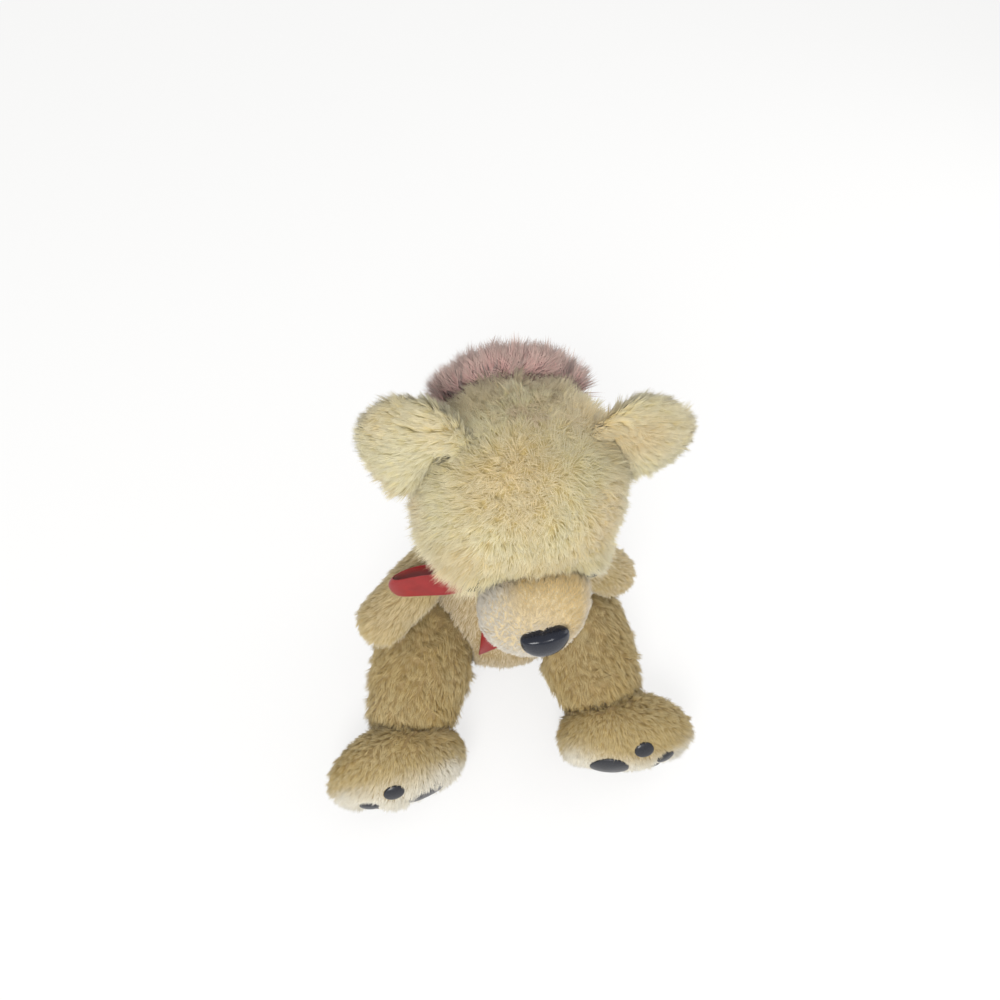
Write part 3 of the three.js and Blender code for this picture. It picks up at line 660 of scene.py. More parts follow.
# Spots where the pile is longer, and where it lies more or less: place, reach, change
LONGER = [(eye + LONG_OVER_EYE, 20 * MM, 13 * MM) for eye in EYE_POINTS]
LONGER += [(CHEEK, 34 * MM, 10 * MM), (BROW, 24 * MM, 4 * MM)]
LONGER += [(root, 34 * MM, 7 * MM) for root in EAR_ROOTS.values()]
LEANING = [(CHEEK, 34 * MM, -0.18), (BROW, 24 * MM, 0.1)]
LEANING += [(root, 34 * MM, -0.2) for root in EAR_ROOTS.values()]
LEANING += [(eye + UPRIGHT_OVER_EYE, 20 * MM, -0.3) for eye in EYE_POINTS]


def near(points, place, reach):
    """1 at the place, falling softly to 0 beyond the reach."""
    off = points - place
    return np.exp(-np.sum(off * off, axis=1) / reach ** 2)


def head_comb(points, normals):
    """Outwards from the whorl, where the pile stands nearly upright."""
    away = points - WHORL
    share = np.clip(np.linalg.norm(away, axis=1, keepdims=True) / WHORL_REACH, 0, 1)
    return unit(away) * share * (1.5 - 0.5 * share)


def head_pile_length(points, normals):
    """Shorter on the face, longer at the back and on the spots."""
    length = FACE_PILE + BACK_PILE_EXTRA * np.clip((points[:, 1] - BACK_FROM) / BACK_FADE, 0, 1)
    for place, reach, extra in LONGER:
        length += extra * near(points, place, reach)
    return length


def head_pile_lean(points, normals):
    """Lying well over, apart from the spots."""
    lean = np.full(len(points), HEAD_LEAN)
    for place, reach, change in LEANING:
        lean += change * near(points, place, reach)
    return lean


def head_stray(points, normals):
    """Tousled on the forehead, smoother towards the cheeks."""
    return HEAD_STRAY + TOUSLED_EXTRA * near(points, WHORL, TOUSLED_REACH)


head_skin = stuffed_cover("head_skin", ["head_cover", "head_filling"], depth=HEAD_DEPTH)
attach(head_skin, "head")
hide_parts("head_cover", "head_filling")
head_skin.data.materials.append(cream_backing)
pile("head_pile", head_skin, "head", cream_long_pile, CREAM_PILE, count=85000, seed=11,
     length=head_pile_length, comb=head_comb, lean=head_pile_lean, width=0.62 * MM, lock=10, stray=head_stray,
     tint=cream_patches, clear_of={
         "muzzle_filling": 1.2 * MM, "body_cover": PILE_ROOM, "eye_left": 0.5 * MM, "eye_right": 0.5 * MM,
         "hair_tuft": 1 * MM})

# Crown: the strip of the head's plush in front of the tuft. Its pile is longer and lies forwards,
# so it is drawn as a second pile on the head's skin. Its colours are duller and darker than the head's,
# partly a grey brown of its own and partly painted shade on the crown.

# Root, middle and tip colours, darker than the head's: partly own grey brown, partly painted shade on the
# crown; the darker roots are painted shade deep in the pile, the paler tips painted light
CROWN_PILE = [("#B8A376", "#CBB98C", "#E2D5B0"), ("#B29A7C", "#C2AB8C", "#D5C4A6")]
CROWN_LENGTH = 21 * MM
CROWN_MIDDLE = -10 * MM
CROWN_HALF = 48 * MM
CROWN_FRONT = -22 * MM
CROWN_BACK = 34 * MM
CROWN_LOW = 340 * MM
CROWN_FAN = 6


def on_crown(points, normals):
    """The strip of the crown in front of the tuft."""
    x, y, z = points.T
    return (np.abs(x - CROWN_MIDDLE) < CROWN_HALF) & (y > CROWN_FRONT) & (y < CROWN_BACK) & (z > CROWN_LOW)


def crown_comb(points, normals):
    """Forwards over the crown, fanning out to both sides."""
    forwards = one_way(0, -0.8, 0.3)(points, normals)
    forwards[:, 0] = points[:, 0] * CROWN_FAN
    return forwards


pile("crown_pile", head_skin, "head", cream_long_pile, CROWN_PILE, count=46000, seed=12,
     length=CROWN_LENGTH, comb=crown_comb, lean=0.5, width=0.62 * MM, lock=12, gather=0.5, stray=0.4,
     tint=patchy(reach=26 * MM, level=0.45, depth=0.9, seed=7), keep=on_crown,
     clear_of={"hair_tuft": 1 * MM})

# Tuft: a strip of very long dusky pink plush, sewn across the back of the head behind the crown.
# Its pile, about 25 mm long, is brushed up into a fan. It is pink in front and grey brown at the back.

# Root, middle and tip colours: the paler tips are painted light on the strand ends
PINK_PILE = [("#D2A39D", "#D8AFA8", "#D6C0B3"), ("#AE968A", "#B7A395", "#C0B2A5")]
pink_long_pile = pile_material("dusky_pink_long_pile", roughness=0.6, sheen=0.3)
pink_backing = backing_material("pink_knit_backing", "#A87474", "#855454")
FINE_VOXEL = 4 * MM
FINE_ROUNDS = 4
TUFT_DEPTH = 7 * MM
TUFT_PILE = 25 * MM
TUFT_FAN_FROM = np.array([[0.0, 0.02, 0.30]])
TUFT_LIFT = np.array([[0.0, 0.15, 0.55]])
TUFT_PINK_TO = 66 * MM
TUFT_FADE = 14 * MM


def tuft_comb(points, normals):
    """A fan from a place inside the head, brushed upwards."""
    return unit(points - TUFT_FAN_FROM) + TUFT_LIFT


def tuft_tint(points, normals):
    """Pink in front, a grey brown at the back."""
    return np.clip((points[:, 1] - TUFT_PINK_TO) / TUFT_FADE, 0, 1)


tuft_skin = stuffed_cover("hair_tuft_skin", ["hair_tuft"], TUFT_DEPTH, FINE_VOXEL, FINE_ROUNDS)
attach(tuft_skin, "head")
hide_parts("hair_tuft")
tuft_skin.data.materials.append(pink_backing)
pile("hair_tuft_pile", tuft_skin, "head", pink_long_pile, PINK_PILE, count=16000, seed=15,
     length=TUFT_PILE, comb=tuft_comb, lean=0.45, width=0.66 * MM, lock=12, gather=0.45, stray=0.5, droop=0.0,
     tint=tuft_tint)

# Muzzle: two short-pile panels, tan above and ivory below, sewn over one ball of stuffing and on to the face.
# Its pile is sheared to about 5 mm and lies back from the nose. The stuffing leans a little to the right.

# Root, middle and tip colours: the darker roots are painted shade deep in the pile, the paler tips painted
# light
MUZZLE_PILE = [("#C9A76E", "#D5B77D", "#E5CF9D"), ("#C0B6A4", "#CFC7B8", "#E0D9CC")]
short_pile = pile_material("sheared_short_pile", roughness=0.75, sheen=0.35)
muzzle_backing = backing_material("muzzle_knit_backing", "#D8C6A0", "#C8B389")
MUZZLE_DEPTH = 0.8 * MM
MUZZLE_LEAN = 5 * MM
MUZZLE_LEAN_FROM = -95 * MM
MUZZLE_LEAN_FADE = 45 * MM
MUZZLE_SHEARED = 4.6 * MM
MUZZLE_EDGE_EXTRA = 5 * MM
MUZZLE_EDGE = -126 * MM
MUZZLE_EDGE_FADE = 18 * MM
IVORY_BELOW = 268 * MM
IVORY_FADE_DOWN = 26 * MM
IVORY_RIGHT_OF = -2 * MM
IVORY_LEFT_OF = 44 * MM
IVORY_FADE_ASIDE = 22 * MM
NOSE_SPOT = np.array([4.0, -155.0, 266.0]) * MM
NOSE_SPOT_REACH = 22 * MM
NOSE_SPOT_TINT = 1.1


def muzzle_tint(points, normals):
    """Tan on top, ivory below the seam, at both sides and round the nose."""
    x, y, z = points.T
    low = np.clip((IVORY_BELOW - z) / IVORY_FADE_DOWN, 0, 1)
    right_side = np.clip((IVORY_RIGHT_OF - x) / IVORY_FADE_ASIDE, 0, 1)
    left_side = np.clip((x - IVORY_LEFT_OF) / IVORY_FADE_ASIDE, 0, 1)
    by_nose = NOSE_SPOT_TINT * near(points, NOSE_SPOT, NOSE_SPOT_REACH)
    return np.clip(low + right_side + left_side + by_nose, 0, 1)


def muzzle_pile_length(points, normals):
    """Sheared short, longer where the panels meet the face."""
    to_face = np.clip((points[:, 1] - MUZZLE_EDGE) / MUZZLE_EDGE_FADE, 0, 1)
    return MUZZLE_SHEARED + MUZZLE_EDGE_EXTRA * to_face


muzzle_nodes = ["muzzle_top", "muzzle_chin", "muzzle_filling"]
muzzle_skin = stuffed_cover("muzzle_skin", muzzle_nodes, MUZZLE_DEPTH, FINE_VOXEL)
places = coordinates(muzzle_skin.data)
places[:, 0] -= MUZZLE_LEAN * np.clip((MUZZLE_LEAN_FROM - places[:, 1]) / MUZZLE_LEAN_FADE, 0, 1)
move_points(muzzle_skin.data, places)
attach(muzzle_skin, "head")
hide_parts("muzzle_top", "muzzle_chin", "muzzle_filling")
muzzle_skin.data.materials.append(muzzle_backing)
pile("muzzle_pile", muzzle_skin, "head", short_pile, MUZZLE_PILE, count=19000, seed=31,
     length=muzzle_pile_length, comb=one_way(0, 1, 0.15), lean=0.52, width=0.55 * MM, lock=8, gather=0.3,
     stray=0.28, tint=muzzle_tint)

# Nose: one hard moulding of glossy near-black plastic, like a half moon with a flat top and a small notch.
# Its stem goes through the cloth and is held behind it by a lock washer.

HEAD_TURN = Matrix.Rotation(math.radians(6), 4, "Z")
NOSE_PLACE = Vector((-2, -153.2, 270.6)) * MM
NOSE_LIFT = math.radians(18)
NOSE_TILT = math.radians(-7)
NOSE_HALF_WIDTH = 20 * MM
NOSE_BULGE = 8.5 * MM
NOSE_RISE = 7.5 * MM
NOSE_FALL = 19.5 * MM
NOSE_TAPER = 0.1
NOSE_FLAT_TOP = 0.48
NOSE_SQUARE = (0.95, 0.27)
NOSE_SQUARE_FROM = -0.2
NOSE_SQUARE_OVER = 0.5
NOTCH_DEPTH = 1.7 * MM
NOTCH_WIDTH = 1.6 * MM
NOTCH_DENT = 0.1
MOULD_GRAIN = 2.5 * MM
MOULD_RELIEF = 0.1 * MM

# Moulded plastic: polished mould, faint moulding grain, a clear soft highlight
glossy_moulding, tree = new_material("glossy_black_moulding")
place = put(tree, "ShaderNodeTexCoord")
grain = put(tree, "ShaderNodeTexNoise", {
    "Vector": (place, "Object"), "Scale": 1 / MOULD_GRAIN, "Detail": 3.0})
bump = put(tree, "ShaderNodeBump", {"Height": (grain, 0), "Strength": 0.05, "Distance": MOULD_RELIEF})
tone = put(tree, "ShaderNodeMix", {
    "Factor": (grain, 0), 6: (*linear("#080D1A"), 1), 7: (*linear("#121828"), 1)}, data_type="RGBA")
gloss = put(tree, "ShaderNodeMapRange", {"Value": (grain, 0), "To Min": 0.2, "To Max": 0.32})
moulding = put(tree, "ShaderNodeBsdfPrincipled", {
    "Base Color": (tone, 2), "Roughness": (gloss, 0), "IOR": 1.5, "Normal": (bump, 0)})
put(tree, "ShaderNodeOutputMaterial", {"Surface": (moulding, 0)})

# Square at the upper corners, flat on top, tapering below, with the notch cut in from the top
nose_bm = bmesh.new()
bmesh.ops.create_uvsphere(nose_bm, u_segments=48, v_segments=32, radius=1)
for vert in nose_bm.verts:
    x, y, z = vert.co
    high = max(0.0, z)
    low = max(0.0, -z)
    wide = NOSE_HALF_WIDTH * (1 - NOSE_TAPER * low ** 2)
    corner = min(1.0, max(0.0, (z - NOSE_SQUARE_FROM) / NOSE_SQUARE_OVER))
    squared = math.copysign(abs(x) ** (NOSE_SQUARE[0] - NOSE_SQUARE[1] * corner), x)
    notch = math.exp(-((squared * wide / NOTCH_WIDTH) ** 2))
    rise = NOSE_RISE * high ** NOSE_FLAT_TOP - NOSE_FALL * low - notch * NOTCH_DEPTH * high ** 0.5
    bulge = NOSE_BULGE * (1 - NOTCH_DENT * notch * (0.4 + high))
    vert.co = (squared * wide, y * bulge, rise)
nose_front = Vector((0, -math.cos(NOSE_LIFT), math.sin(NOSE_LIFT)))
nose_turn = Vector((0, -1, 0)).rotation_difference(nose_front).to_matrix().to_4x4()
nose_tilt = Matrix.Rotation(NOSE_TILT, 4, "Y")
nose_place = HEAD_TURN @ Matrix.Translation(NOSE_PLACE) @ nose_turn @ nose_tilt
bmesh.ops.transform(nose_bm, matrix=nose_place, verts=nose_bm.verts)
bmesh.ops.recalc_face_normals(nose_bm, faces=nose_bm.faces)
nose = from_bmesh("nose_moulding", nose_bm)
shade_smooth(nose)
nose.data.materials.append(glossy_moulding)
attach(nose, "head")
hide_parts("nose")

# Eyes: two domed mouldings of the nose's black plastic, deep in the pile at both sides of the muzzle.
# Their stems go through the cloth and are held behind it by white lock washers.

EYE_PLACE = Vector((51.6, -90.2, 262.0)) * MM
EYE_OUT = Vector((0.5093, -0.7503, -0.4215))
EYE_ROUND = 8.5 * MM
EYE_DEEP = 9 * MM
EYE_RIM = 1.06
EYE_RIM_HALF = 0.16
SIDES = (("left", 1), ("right", -1))
for side, sign in SIDES:
    eye_bm = bmesh.new()
    bmesh.ops.create_uvsphere(eye_bm, u_segments=40, v_segments=24, radius=1)
    for vert in eye_bm.verts:
        wide = EYE_ROUND * (EYE_RIM if abs(vert.co.z) < EYE_RIM_HALF else 1)
        vert.co = (vert.co.x * wide, vert.co.y * wide, vert.co.z * EYE_DEEP)
    mirrored = Matrix.Diagonal((sign, 1, 1))
    facing = (mirrored @ EYE_OUT).to_track_quat("Z", "Y").to_matrix().to_4x4()
    eye_place = HEAD_TURN @ Matrix.Translation(mirrored @ EYE_PLACE) @ facing
    bmesh.ops.transform(eye_bm, matrix=eye_place, verts=eye_bm.verts)
    eye = from_bmesh(f"eye_{side}_moulding", eye_bm)
    shade_smooth(eye)
    eye.data.materials.append(glossy_moulding)
    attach(eye, "head")
    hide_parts(f"eye_{side}")

# Nylon: milky white, slightly waxy, with the faint mottle of a small moulding
NYLON_MOTTLE = 3 * MM
nylon, tree = new_material("moulded_nylon")
place = put(tree, "ShaderNodeTexCoord")
mottle = put(tree, "ShaderNodeTexNoise", {"Vector": (place, "Object"), "Scale": 1 / NYLON_MOTTLE})
tone = put(tree, "ShaderNodeMix", {
    "Factor": (mottle, 0), 6: (*linear("#D6D6D2"), 1), 7: (*linear("#E6E6E3"), 1)}, data_type="RGBA")
waxy = put(tree, "ShaderNodeBsdfPrincipled", {"Base Color": (tone, 2), "Roughness": 0.45, "IOR": 1.53})
put(tree, "ShaderNodeOutputMaterial", {"Surface": (waxy, 0)})
for name in ("nose_washer", "eye_washer_left", "eye_washer_right"):
    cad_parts[name].data.materials.clear()
    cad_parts[name].data.materials.append(nylon)

# Ears: flat bags of the head's plush, lightly stuffed, pinched and sewn to the head along their roots.
# The pile points outwards to the rim and stands off it. Each ear's inner corner is sunk into the head's pile.

EAR_DEPTH = 3.5 * MM
EAR_PILE = 16 * MM
EAR_SKIRT = np.array([-88.0, -44.0, 316.0]) * MM
EAR_SKIRT_EXTRA = 10 * MM
EAR_SKIRT_REACH = 30 * MM
EAR_COMB_FROM = np.array([[0.45, 1, 1]])
EAR_COMB_OUT = 0.3
CORNER_KEPT = 4 * MM
CORNER_FADE = 6 * MM
CORNER_SUNK = 3 * MM
head_tree = tree_of(head_skin)


def ear_pile_length(points, normals):
    """Longer on the lower rim of the right ear."""
    return EAR_PILE + EAR_SKIRT_EXTRA * near(points, EAR_SKIRT, EAR_SKIRT_REACH)


for seed, side in ((21, "left"), (22, "right")):
    ear_root = EAR_ROOTS[side]
    skin = stuffed_cover(f"ear_{side}_skin", [f"ear_{side}"], EAR_DEPTH, FINE_VOXEL, FINE_ROUNDS)
    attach(skin, f"ear_{side}")
    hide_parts(f"ear_{side}")
    skin.data.materials.append(cream_backing)
    places = coordinates(skin.data)
    inwards = np.abs(ear_root[0, 0]) - np.abs(places[:, 0])
    corner = np.clip((inwards - CORNER_KEPT) / CORNER_FADE, 0, 1)
    for i in np.nonzero(corner)[0]:
        on_head, out_of_head = head_tree.find_nearest(Vector(places[i]))[:2]
        sunk = np.array(on_head - out_of_head * CORNER_SUNK)
        places[i] = places[i] * (1 - corner[i]) + sunk * corner[i]
    move_points(skin.data, places)

    def ear_comb(points, normals):
        """Outwards from a place inside the head, so that the strands run nearly side by side to the rim."""
        away = unit(points - ear_root * EAR_COMB_FROM)
        away[:, 0] += np.sign(ear_root[0, 0]) * EAR_COMB_OUT
        return away

    pile(f"ear_{side}_pile", skin, f"ear_{side}", cream_long_pile, CREAM_PILE, count=21000,
         seed=seed, length=ear_pile_length, comb=ear_comb, lock=14, gather=0.5, stray=0.36,
         tint=cream_patches)

# Arms: short tapered bags of tan plush, stuffed and sewn on at the shoulder.
# The pile is combed down to the paws and pressed short where the arm lies against the body.

# Root, middle and tip colours: the darker roots are painted shade deep in the pile, the paler tips painted
# light
ARM_PILE = [("#A78C56", "#BBA26C", "#D6C596"), ("#B89F6E", "#CBB588", "#E0D2B2")]
tan_patches = patchy(reach=38 * MM, level=0.4, depth=0.8, seed=3)
SHOULDER = np.array([68, -18, 170]) * MM


def shorter_by_body(by_body, elsewhere):
    """A pile length that is shorter where the limb lies against the body."""
    def length(points, normals):
        return np.where(distance_to(points, "body_cover") < PILE_ROOM, by_body, elsewhere)

    return length


for side, sign in SIDES:
    skin = stuffed_cover(f"arm_{side}_skin", [f"arm_{side}_cover", f"arm_{side}_filling"])
    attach(skin, f"arm_{side}")
    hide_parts(f"arm_{side}_cover", f"arm_{side}_filling")
    skin.data.materials.append(tan_backing)
    places = coordinates(skin.data)
    paw = places[np.argmin(places[:, 2])]
    arm_line = unit((paw - SHOULDER * np.array([sign, 1, 1]))[None])[0]
    pile(f"arm_{side}_pile", skin, f"arm_{side}", tan_long_pile, ARM_PILE, count=13200,
         seed=53 + sign, length=shorter_by_body(6 * MM, 11 * MM), comb=one_way(*arm_line), tint=tan_patches)

# Legs: thick tubes of tan plush, stuffed and sewn on at the hips, lying on the floor in front of the body.
# The pile is about 13 mm long and falls in loose locks towards the feet.

# Root, middle and tip colours: the darker roots are painted shade deep in the pile, the paler tips painted
# light
TAN_PILE = [("#987A42", "#AE9258", "#CCB986"), ("#A68B58", "#BAA26F", "#D6C598")]
LEG_DEPTH = 0.5 * MM
LEG_COMB = (0.225, -0.974, -0.35)
ANKLE_ROOM = 2 * MM
for side, sign in SIDES:
    skin = stuffed_cover(f"leg_{side}_skin", [f"leg_{side}_cover", f"leg_{side}_filling"], LEG_DEPTH)
    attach(skin, f"leg_{side}")
    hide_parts(f"leg_{side}_cover", f"leg_{side}_filling")
    skin.data.materials.append(tan_backing)
    leg_comb = one_way(LEG_COMB[0] * sign, *LEG_COMB[1:])
    pile(f"leg_{side}_pile", skin, f"leg_{side}", tan_long_pile, TAN_PILE, count=22000,
         seed=63 + sign, length=shorter_by_body(7 * MM, 13.5 * MM), comb=leg_comb, lean=0.56, lock=14,
         gather=0.5, stray=0.42, tint=tan_patches, clear_of={f"foot_{side}_cover": ANKLE_ROOM})

# Feet: long rounded bags sewn on at the ankle with the toes turned out, each closed by a domed sole of
# ivory plush. Cover and sole are drawn as one skin, and the pile hides the seam between them.
# Four pads of black vinyl are sewn on the sole, a large one under the heel and three for the toes.

# Root, middle and tip colours: the darker roots are painted shade deep in the pile, the paler tips painted
# light
IVORY_PILE = [("#9E8149", "#B49A61", "#D1BF8F"), ("#CABFA6", "#DDD5C0", "#EEE9DB")]
FOOT_DEPTH = 2.2 * MM
FOOT_PILE = 10.5 * MM
ANKLES = {"left": (99.65, -106.1, 43.5), "right": (-99.65, -122.1, 43.5)}
INSTEP = np.array([[0, -6, 30]]) * MM
SOLE_NEAR = 5.5 * MM
SOLE_TOP = {"left": 72 * MM, "right": 88 * MM}
SOLE_FADE_DOWN = 26 * MM
SEAM_TAN = 2 * MM
SEAM_FADE = 11 * MM
SEAM_LEAST = 0.1
PADS = ("main", "toe_upper", "toe_middle", "toe_lower")
PADS_BARED = {"left": PADS, "right": PADS[1:]}
BY_PAD_PILE = 4.5 * MM
OFF_PAD_EXTRA = 6 * MM
PAD_RIM = 1.1
FAR_FROM_PADS = 9.0
PAD_LIFT = 1.6 * MM
PAD_PUFF = 2.4 * MM
PAD_PUFF_ROUND = 0.7
PAD_UNDER = 2.5 * MM
PAD_LOOK_FROM = 30 * MM
VINYL_GRAIN = 1.4 * MM
VINYL_RELIEF = 0.25 * MM

# Vinyl: pressed leather grain, half gloss, near black with greyer high spots
black_vinyl, tree = new_material("black_grained_vinyl")
place = put(tree, "ShaderNodeTexCoord")
grain = put(tree, "ShaderNodeTexVoronoi", {"Vector": (place, "Object"), "Scale": 1 / VINYL_GRAIN})
tone = put(tree, "ShaderNodeMix", {
    "Factor": (grain, "Distance"), 6: (*linear("#15161B"), 1), 7: (*linear("#2A2C33"), 1)}, data_type="RGBA")
bump = put(tree, "ShaderNodeBump", {
    "Height": (grain, "Distance"), "Strength": 0.35, "Distance": VINYL_RELIEF})
vinyl = put(tree, "ShaderNodeBsdfPrincipled", {
    "Base Color": (tone, 2), "Roughness": 0.33, "IOR": 1.5, "Normal": (bump, 0)})
put(tree, "ShaderNodeOutputMaterial", {"Surface": (vinyl, 0)})


def pad_plane(node):
    """A pad's middle, its two directions in the sole, its direction out of the sole, and its half sizes."""
    places = coordinates(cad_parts[node].data)
    middle = (places.min(0) + places.max(0)) / 2
    first, second, out = np.linalg.svd(places - middle)[2]
    halves = [np.abs((places - middle) @ direction).max() for direction in (first, second)]
    return middle, first, second, out * (-1 if out[1] > 0 else 1), halves


def from_pads(points, planes):
    """How far each point is from the nearest pad, in pad sizes: 1 at its edge."""
    apart = np.full(len(points), FAR_FROM_PADS)
    for middle, first, second, out, halves in planes:
        off = points - middle
        apart = np.minimum(apart, np.hypot((off @ first) / halves[0], (off @ second) / halves[1]))
    return apart


for side, sign in SIDES:
    nodes = [f"foot_{side}_cover", f"foot_{side}_filling", f"foot_{side}_sole"]
    skin = stuffed_cover(f"foot_{side}_skin", nodes, FOOT_DEPTH)
    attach(skin, f"foot_{side}")
    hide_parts(*nodes)
    skin.data.materials.append(tan_backing)
    planes = {pad: pad_plane(f"foot_{side}_pad_{pad}") for pad in PADS}
    instep = np.array([ANKLES[side]]) * MM + INSTEP

    def foot_comb(points, normals):
        """Outwards from the instep."""
        return unit(points - instep)

    def on_upper(points, normals):
        """Which points are clear of the sole's panel."""
        return distance_to(points, f"foot_{side}_sole") >= SOLE_NEAR

    def on_bare_sole(points, normals):
        """Which points are on the sole's panel, beside its pads."""
        return ~on_upper(points, normals) & (from_pads(points, planes.values()) > 1)

    def sole_tint(points, normals):
        """Tan at the seam and at the top of the sole, paler to ivory downwards."""
        from_seam = distance_to(points, f"foot_{side}_cover")
        inward = np.clip((from_seam - SEAM_TAN) / SEAM_FADE, SEAM_LEAST, 1)
        return np.clip((SOLE_TOP[side] - points[:, 2]) / SOLE_FADE_DOWN, 0, 1) * inward

    def sole_pile_length(points, normals):
        """Short round the bared pads, long elsewhere and over the right foot's heel pad."""
        apart = from_pads(points, [planes[pad] for pad in PADS_BARED[side]])
        return BY_PAD_PILE + OFF_PAD_EXTRA * np.clip(apart - PAD_RIM, 0, 1)

    pile(f"foot_{side}_pile", skin, f"foot_{side}", tan_long_pile, TAN_PILE, count=28500,
         seed=73 + sign, length=FOOT_PILE, comb=foot_comb, lean=0.56, lock=14, gather=0.5, stray=0.4,
         droop=0.2, tint=tan_patches, keep=on_upper, clear_of={f"leg_{side}_cover": ANKLE_ROOM})
    pile(f"foot_{side}_sole_pile", skin, f"foot_{side}", tan_long_pile, IVORY_PILE,
         count=28500, seed=83 + sign, length=sole_pile_length, comb=foot_comb, lean=0.58, width=0.58 * MM,
         lock=8, gather=0.3, stray=0.24, tint=sole_tint, keep=on_bare_sole)

    skin_tree = tree_of(skin)
    for pad, (middle, first, second, out, halves) in planes.items():
        pad_bm = bmesh.new()
        bmesh.ops.create_uvsphere(pad_bm, u_segments=40, v_segments=18, radius=1)
        for vert in pad_bm.verts:
            x, y, z = vert.co
            place = middle + first * halves[0] * x + second * halves[1] * y
            hit = skin_tree.ray_cast(Vector(place + out * PAD_LOOK_FROM), Vector(-out))[0]
            base = Vector(place) if hit is None else hit
            height = PAD_LIFT + (PAD_PUFF * z ** PAD_PUFF_ROUND if z > 0 else PAD_UNDER * z)
            vert.co = base + Vector(out) * height
        bmesh.ops.recalc_face_normals(pad_bm, faces=pad_bm.faces)
        vinyl_pad = from_bmesh(f"foot_{side}_{pad}_vinyl", pad_bm)
        shade_smooth(vinyl_pad)
        vinyl_pad.data.materials.append(black_vinyl)
        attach(vinyl_pad, f"foot_{side}")
        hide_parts(f"foot_{side}_pad_{pad}")

# Ribbon band: red satin ribbon 22 mm wide, tied round the neck under the head.
# It lies on the body's pile and presses it down, so it waves a little.

RIBBON_WIDTH = 22 * MM
RIBBON_THICK = 0.9 * MM
RIBBON_WELD = 1e-5
BAND_Z = 206 * MM
BAND_STAND_OFF = 4 * MM
BAND_SWAY = 1.5 * MM
BAND_SWAYS = 3
BAND_RIPPLE = 0.5 * MM
BAND_RIPPLES = 7
BAND_LOOK_FROM = 0.2
BAND_STEPS = 60
YARN_BAND = 7.54 * MM
YARN_RELIEF = 0.15 * MM
WAVE_RATE = 20
SATIN_CLOUD = 9 * MM

# Satin: floats of yarn along the ribbon give a soft streaked gloss, drawn as bands coarse enough to show.
# A wave texture's bands turn by WAVE_RATE radians for each unit of its scale.
red_satin, tree = new_material("red_satin_ribbon")
strip = put(tree, "ShaderNodeUVMap", uv_map="ribbon")
yarn = put(tree, "ShaderNodeTexWave", {
    "Vector": (strip, 0), "Scale": 2 * math.pi / YARN_BAND / WAVE_RATE, "Distortion": 1.5, "Detail": 2.0,
}, wave_type="BANDS", bands_direction="X")
cloudy = put(tree, "ShaderNodeTexNoise", {"Vector": (strip, 0), "Scale": 1 / SATIN_CLOUD, "Detail": 2.0})
tone = put(tree, "ShaderNodeMix", {
    "Factor": (cloudy, 0), 6: (*linear("#7A0C0D"), 1), 7: (*linear("#9E1919"), 1)}, data_type="RGBA")
bump = put(tree, "ShaderNodeBump", {"Height": (yarn, 1), "Strength": 0.25, "Distance": YARN_RELIEF})
satin = put(tree, "ShaderNodeBsdfPrincipled", {
    "Base Color": (tone, 2), "Roughness": 0.42, "Normal": (bump, 0), "Sheen Weight": 0.12,
    "Anisotropic": 0.4})
put(tree, "ShaderNodeOutputMaterial", {"Surface": (satin, 0)})


def ribbon_strip(name, place_at, along_steps, across_steps, length, node, closed=False):
    """A strip of ribbon: place_at gives the place for shares along (0 to 1) and across (-1 to 1)."""
    bm = bmesh.new()
    bmesh.ops.create_grid(bm, x_segments=along_steps, y_segments=across_steps, size=1)
    layer = bm.loops.layers.uv.new("ribbon")
    shares = {v: ((v.co.x + 1) / 2, v.co.y) for v in bm.verts}
    for face in bm.faces:
        for loop in face.loops:
            along, across = shares[loop.vert]
            loop[layer].uv = (across * RIBBON_WIDTH / 2, along * length)
    for vert, (along, across) in shares.items():
        vert.co = place_at(along, across)
    if closed:
        bmesh.ops.remove_doubles(bm, verts=bm.verts, dist=RIBBON_WELD)
    bmesh.ops.recalc_face_normals(bm, faces=bm.faces)
    piece = from_bmesh(name, bm)
    wall = piece.modifiers.new("thickness", "SOLIDIFY")
    wall.thickness = RIBBON_THICK
    wall.offset = 0
    rounder = piece.modifiers.new("rounder", "SUBSURF")
    rounder.levels = 1
    rounder.render_levels = 1
    apply_modifiers(piece)
    shade_smooth(piece)
    piece.data.materials.clear()
    piece.data.materials.append(red_satin)
    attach(piece, "body")
    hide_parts(node)


body_tree = tree_of(body_skin)


def band_place(along, across):
    """A place on the band: level round the neck, just off the body's skin."""
    angle = 2 * math.pi * along
    out = Vector((math.sin(angle), math.cos(angle), 0))
    z = BAND_Z + across * RIBBON_WIDTH / 2 + BAND_SWAY * math.sin(BAND_SWAYS * angle)
    hit = body_tree.ray_cast(Vector((0, 0, z)) + out * BAND_LOOK_FROM, -out)[0]
    return hit + out * (BAND_STAND_OFF + BAND_RIPPLE * math.sin(BAND_RIPPLES * angle + across))


band_points = [band_place(i / BAND_STEPS, 0) for i in range(BAND_STEPS + 1)]
band_length = sum((a - b).length for a, b in zip(band_points, band_points[1:]))
ribbon_strip("ribbon_band_satin", band_place, along_steps=73, across_steps=5, length=band_length,
             node="ribbon_band", closed=True)

# Bow loops: two loops of the same ribbon, gathered at the knot. The right one is longer.
# They stand out to the sides, open a little, with soft waves, and sag towards their round ends.

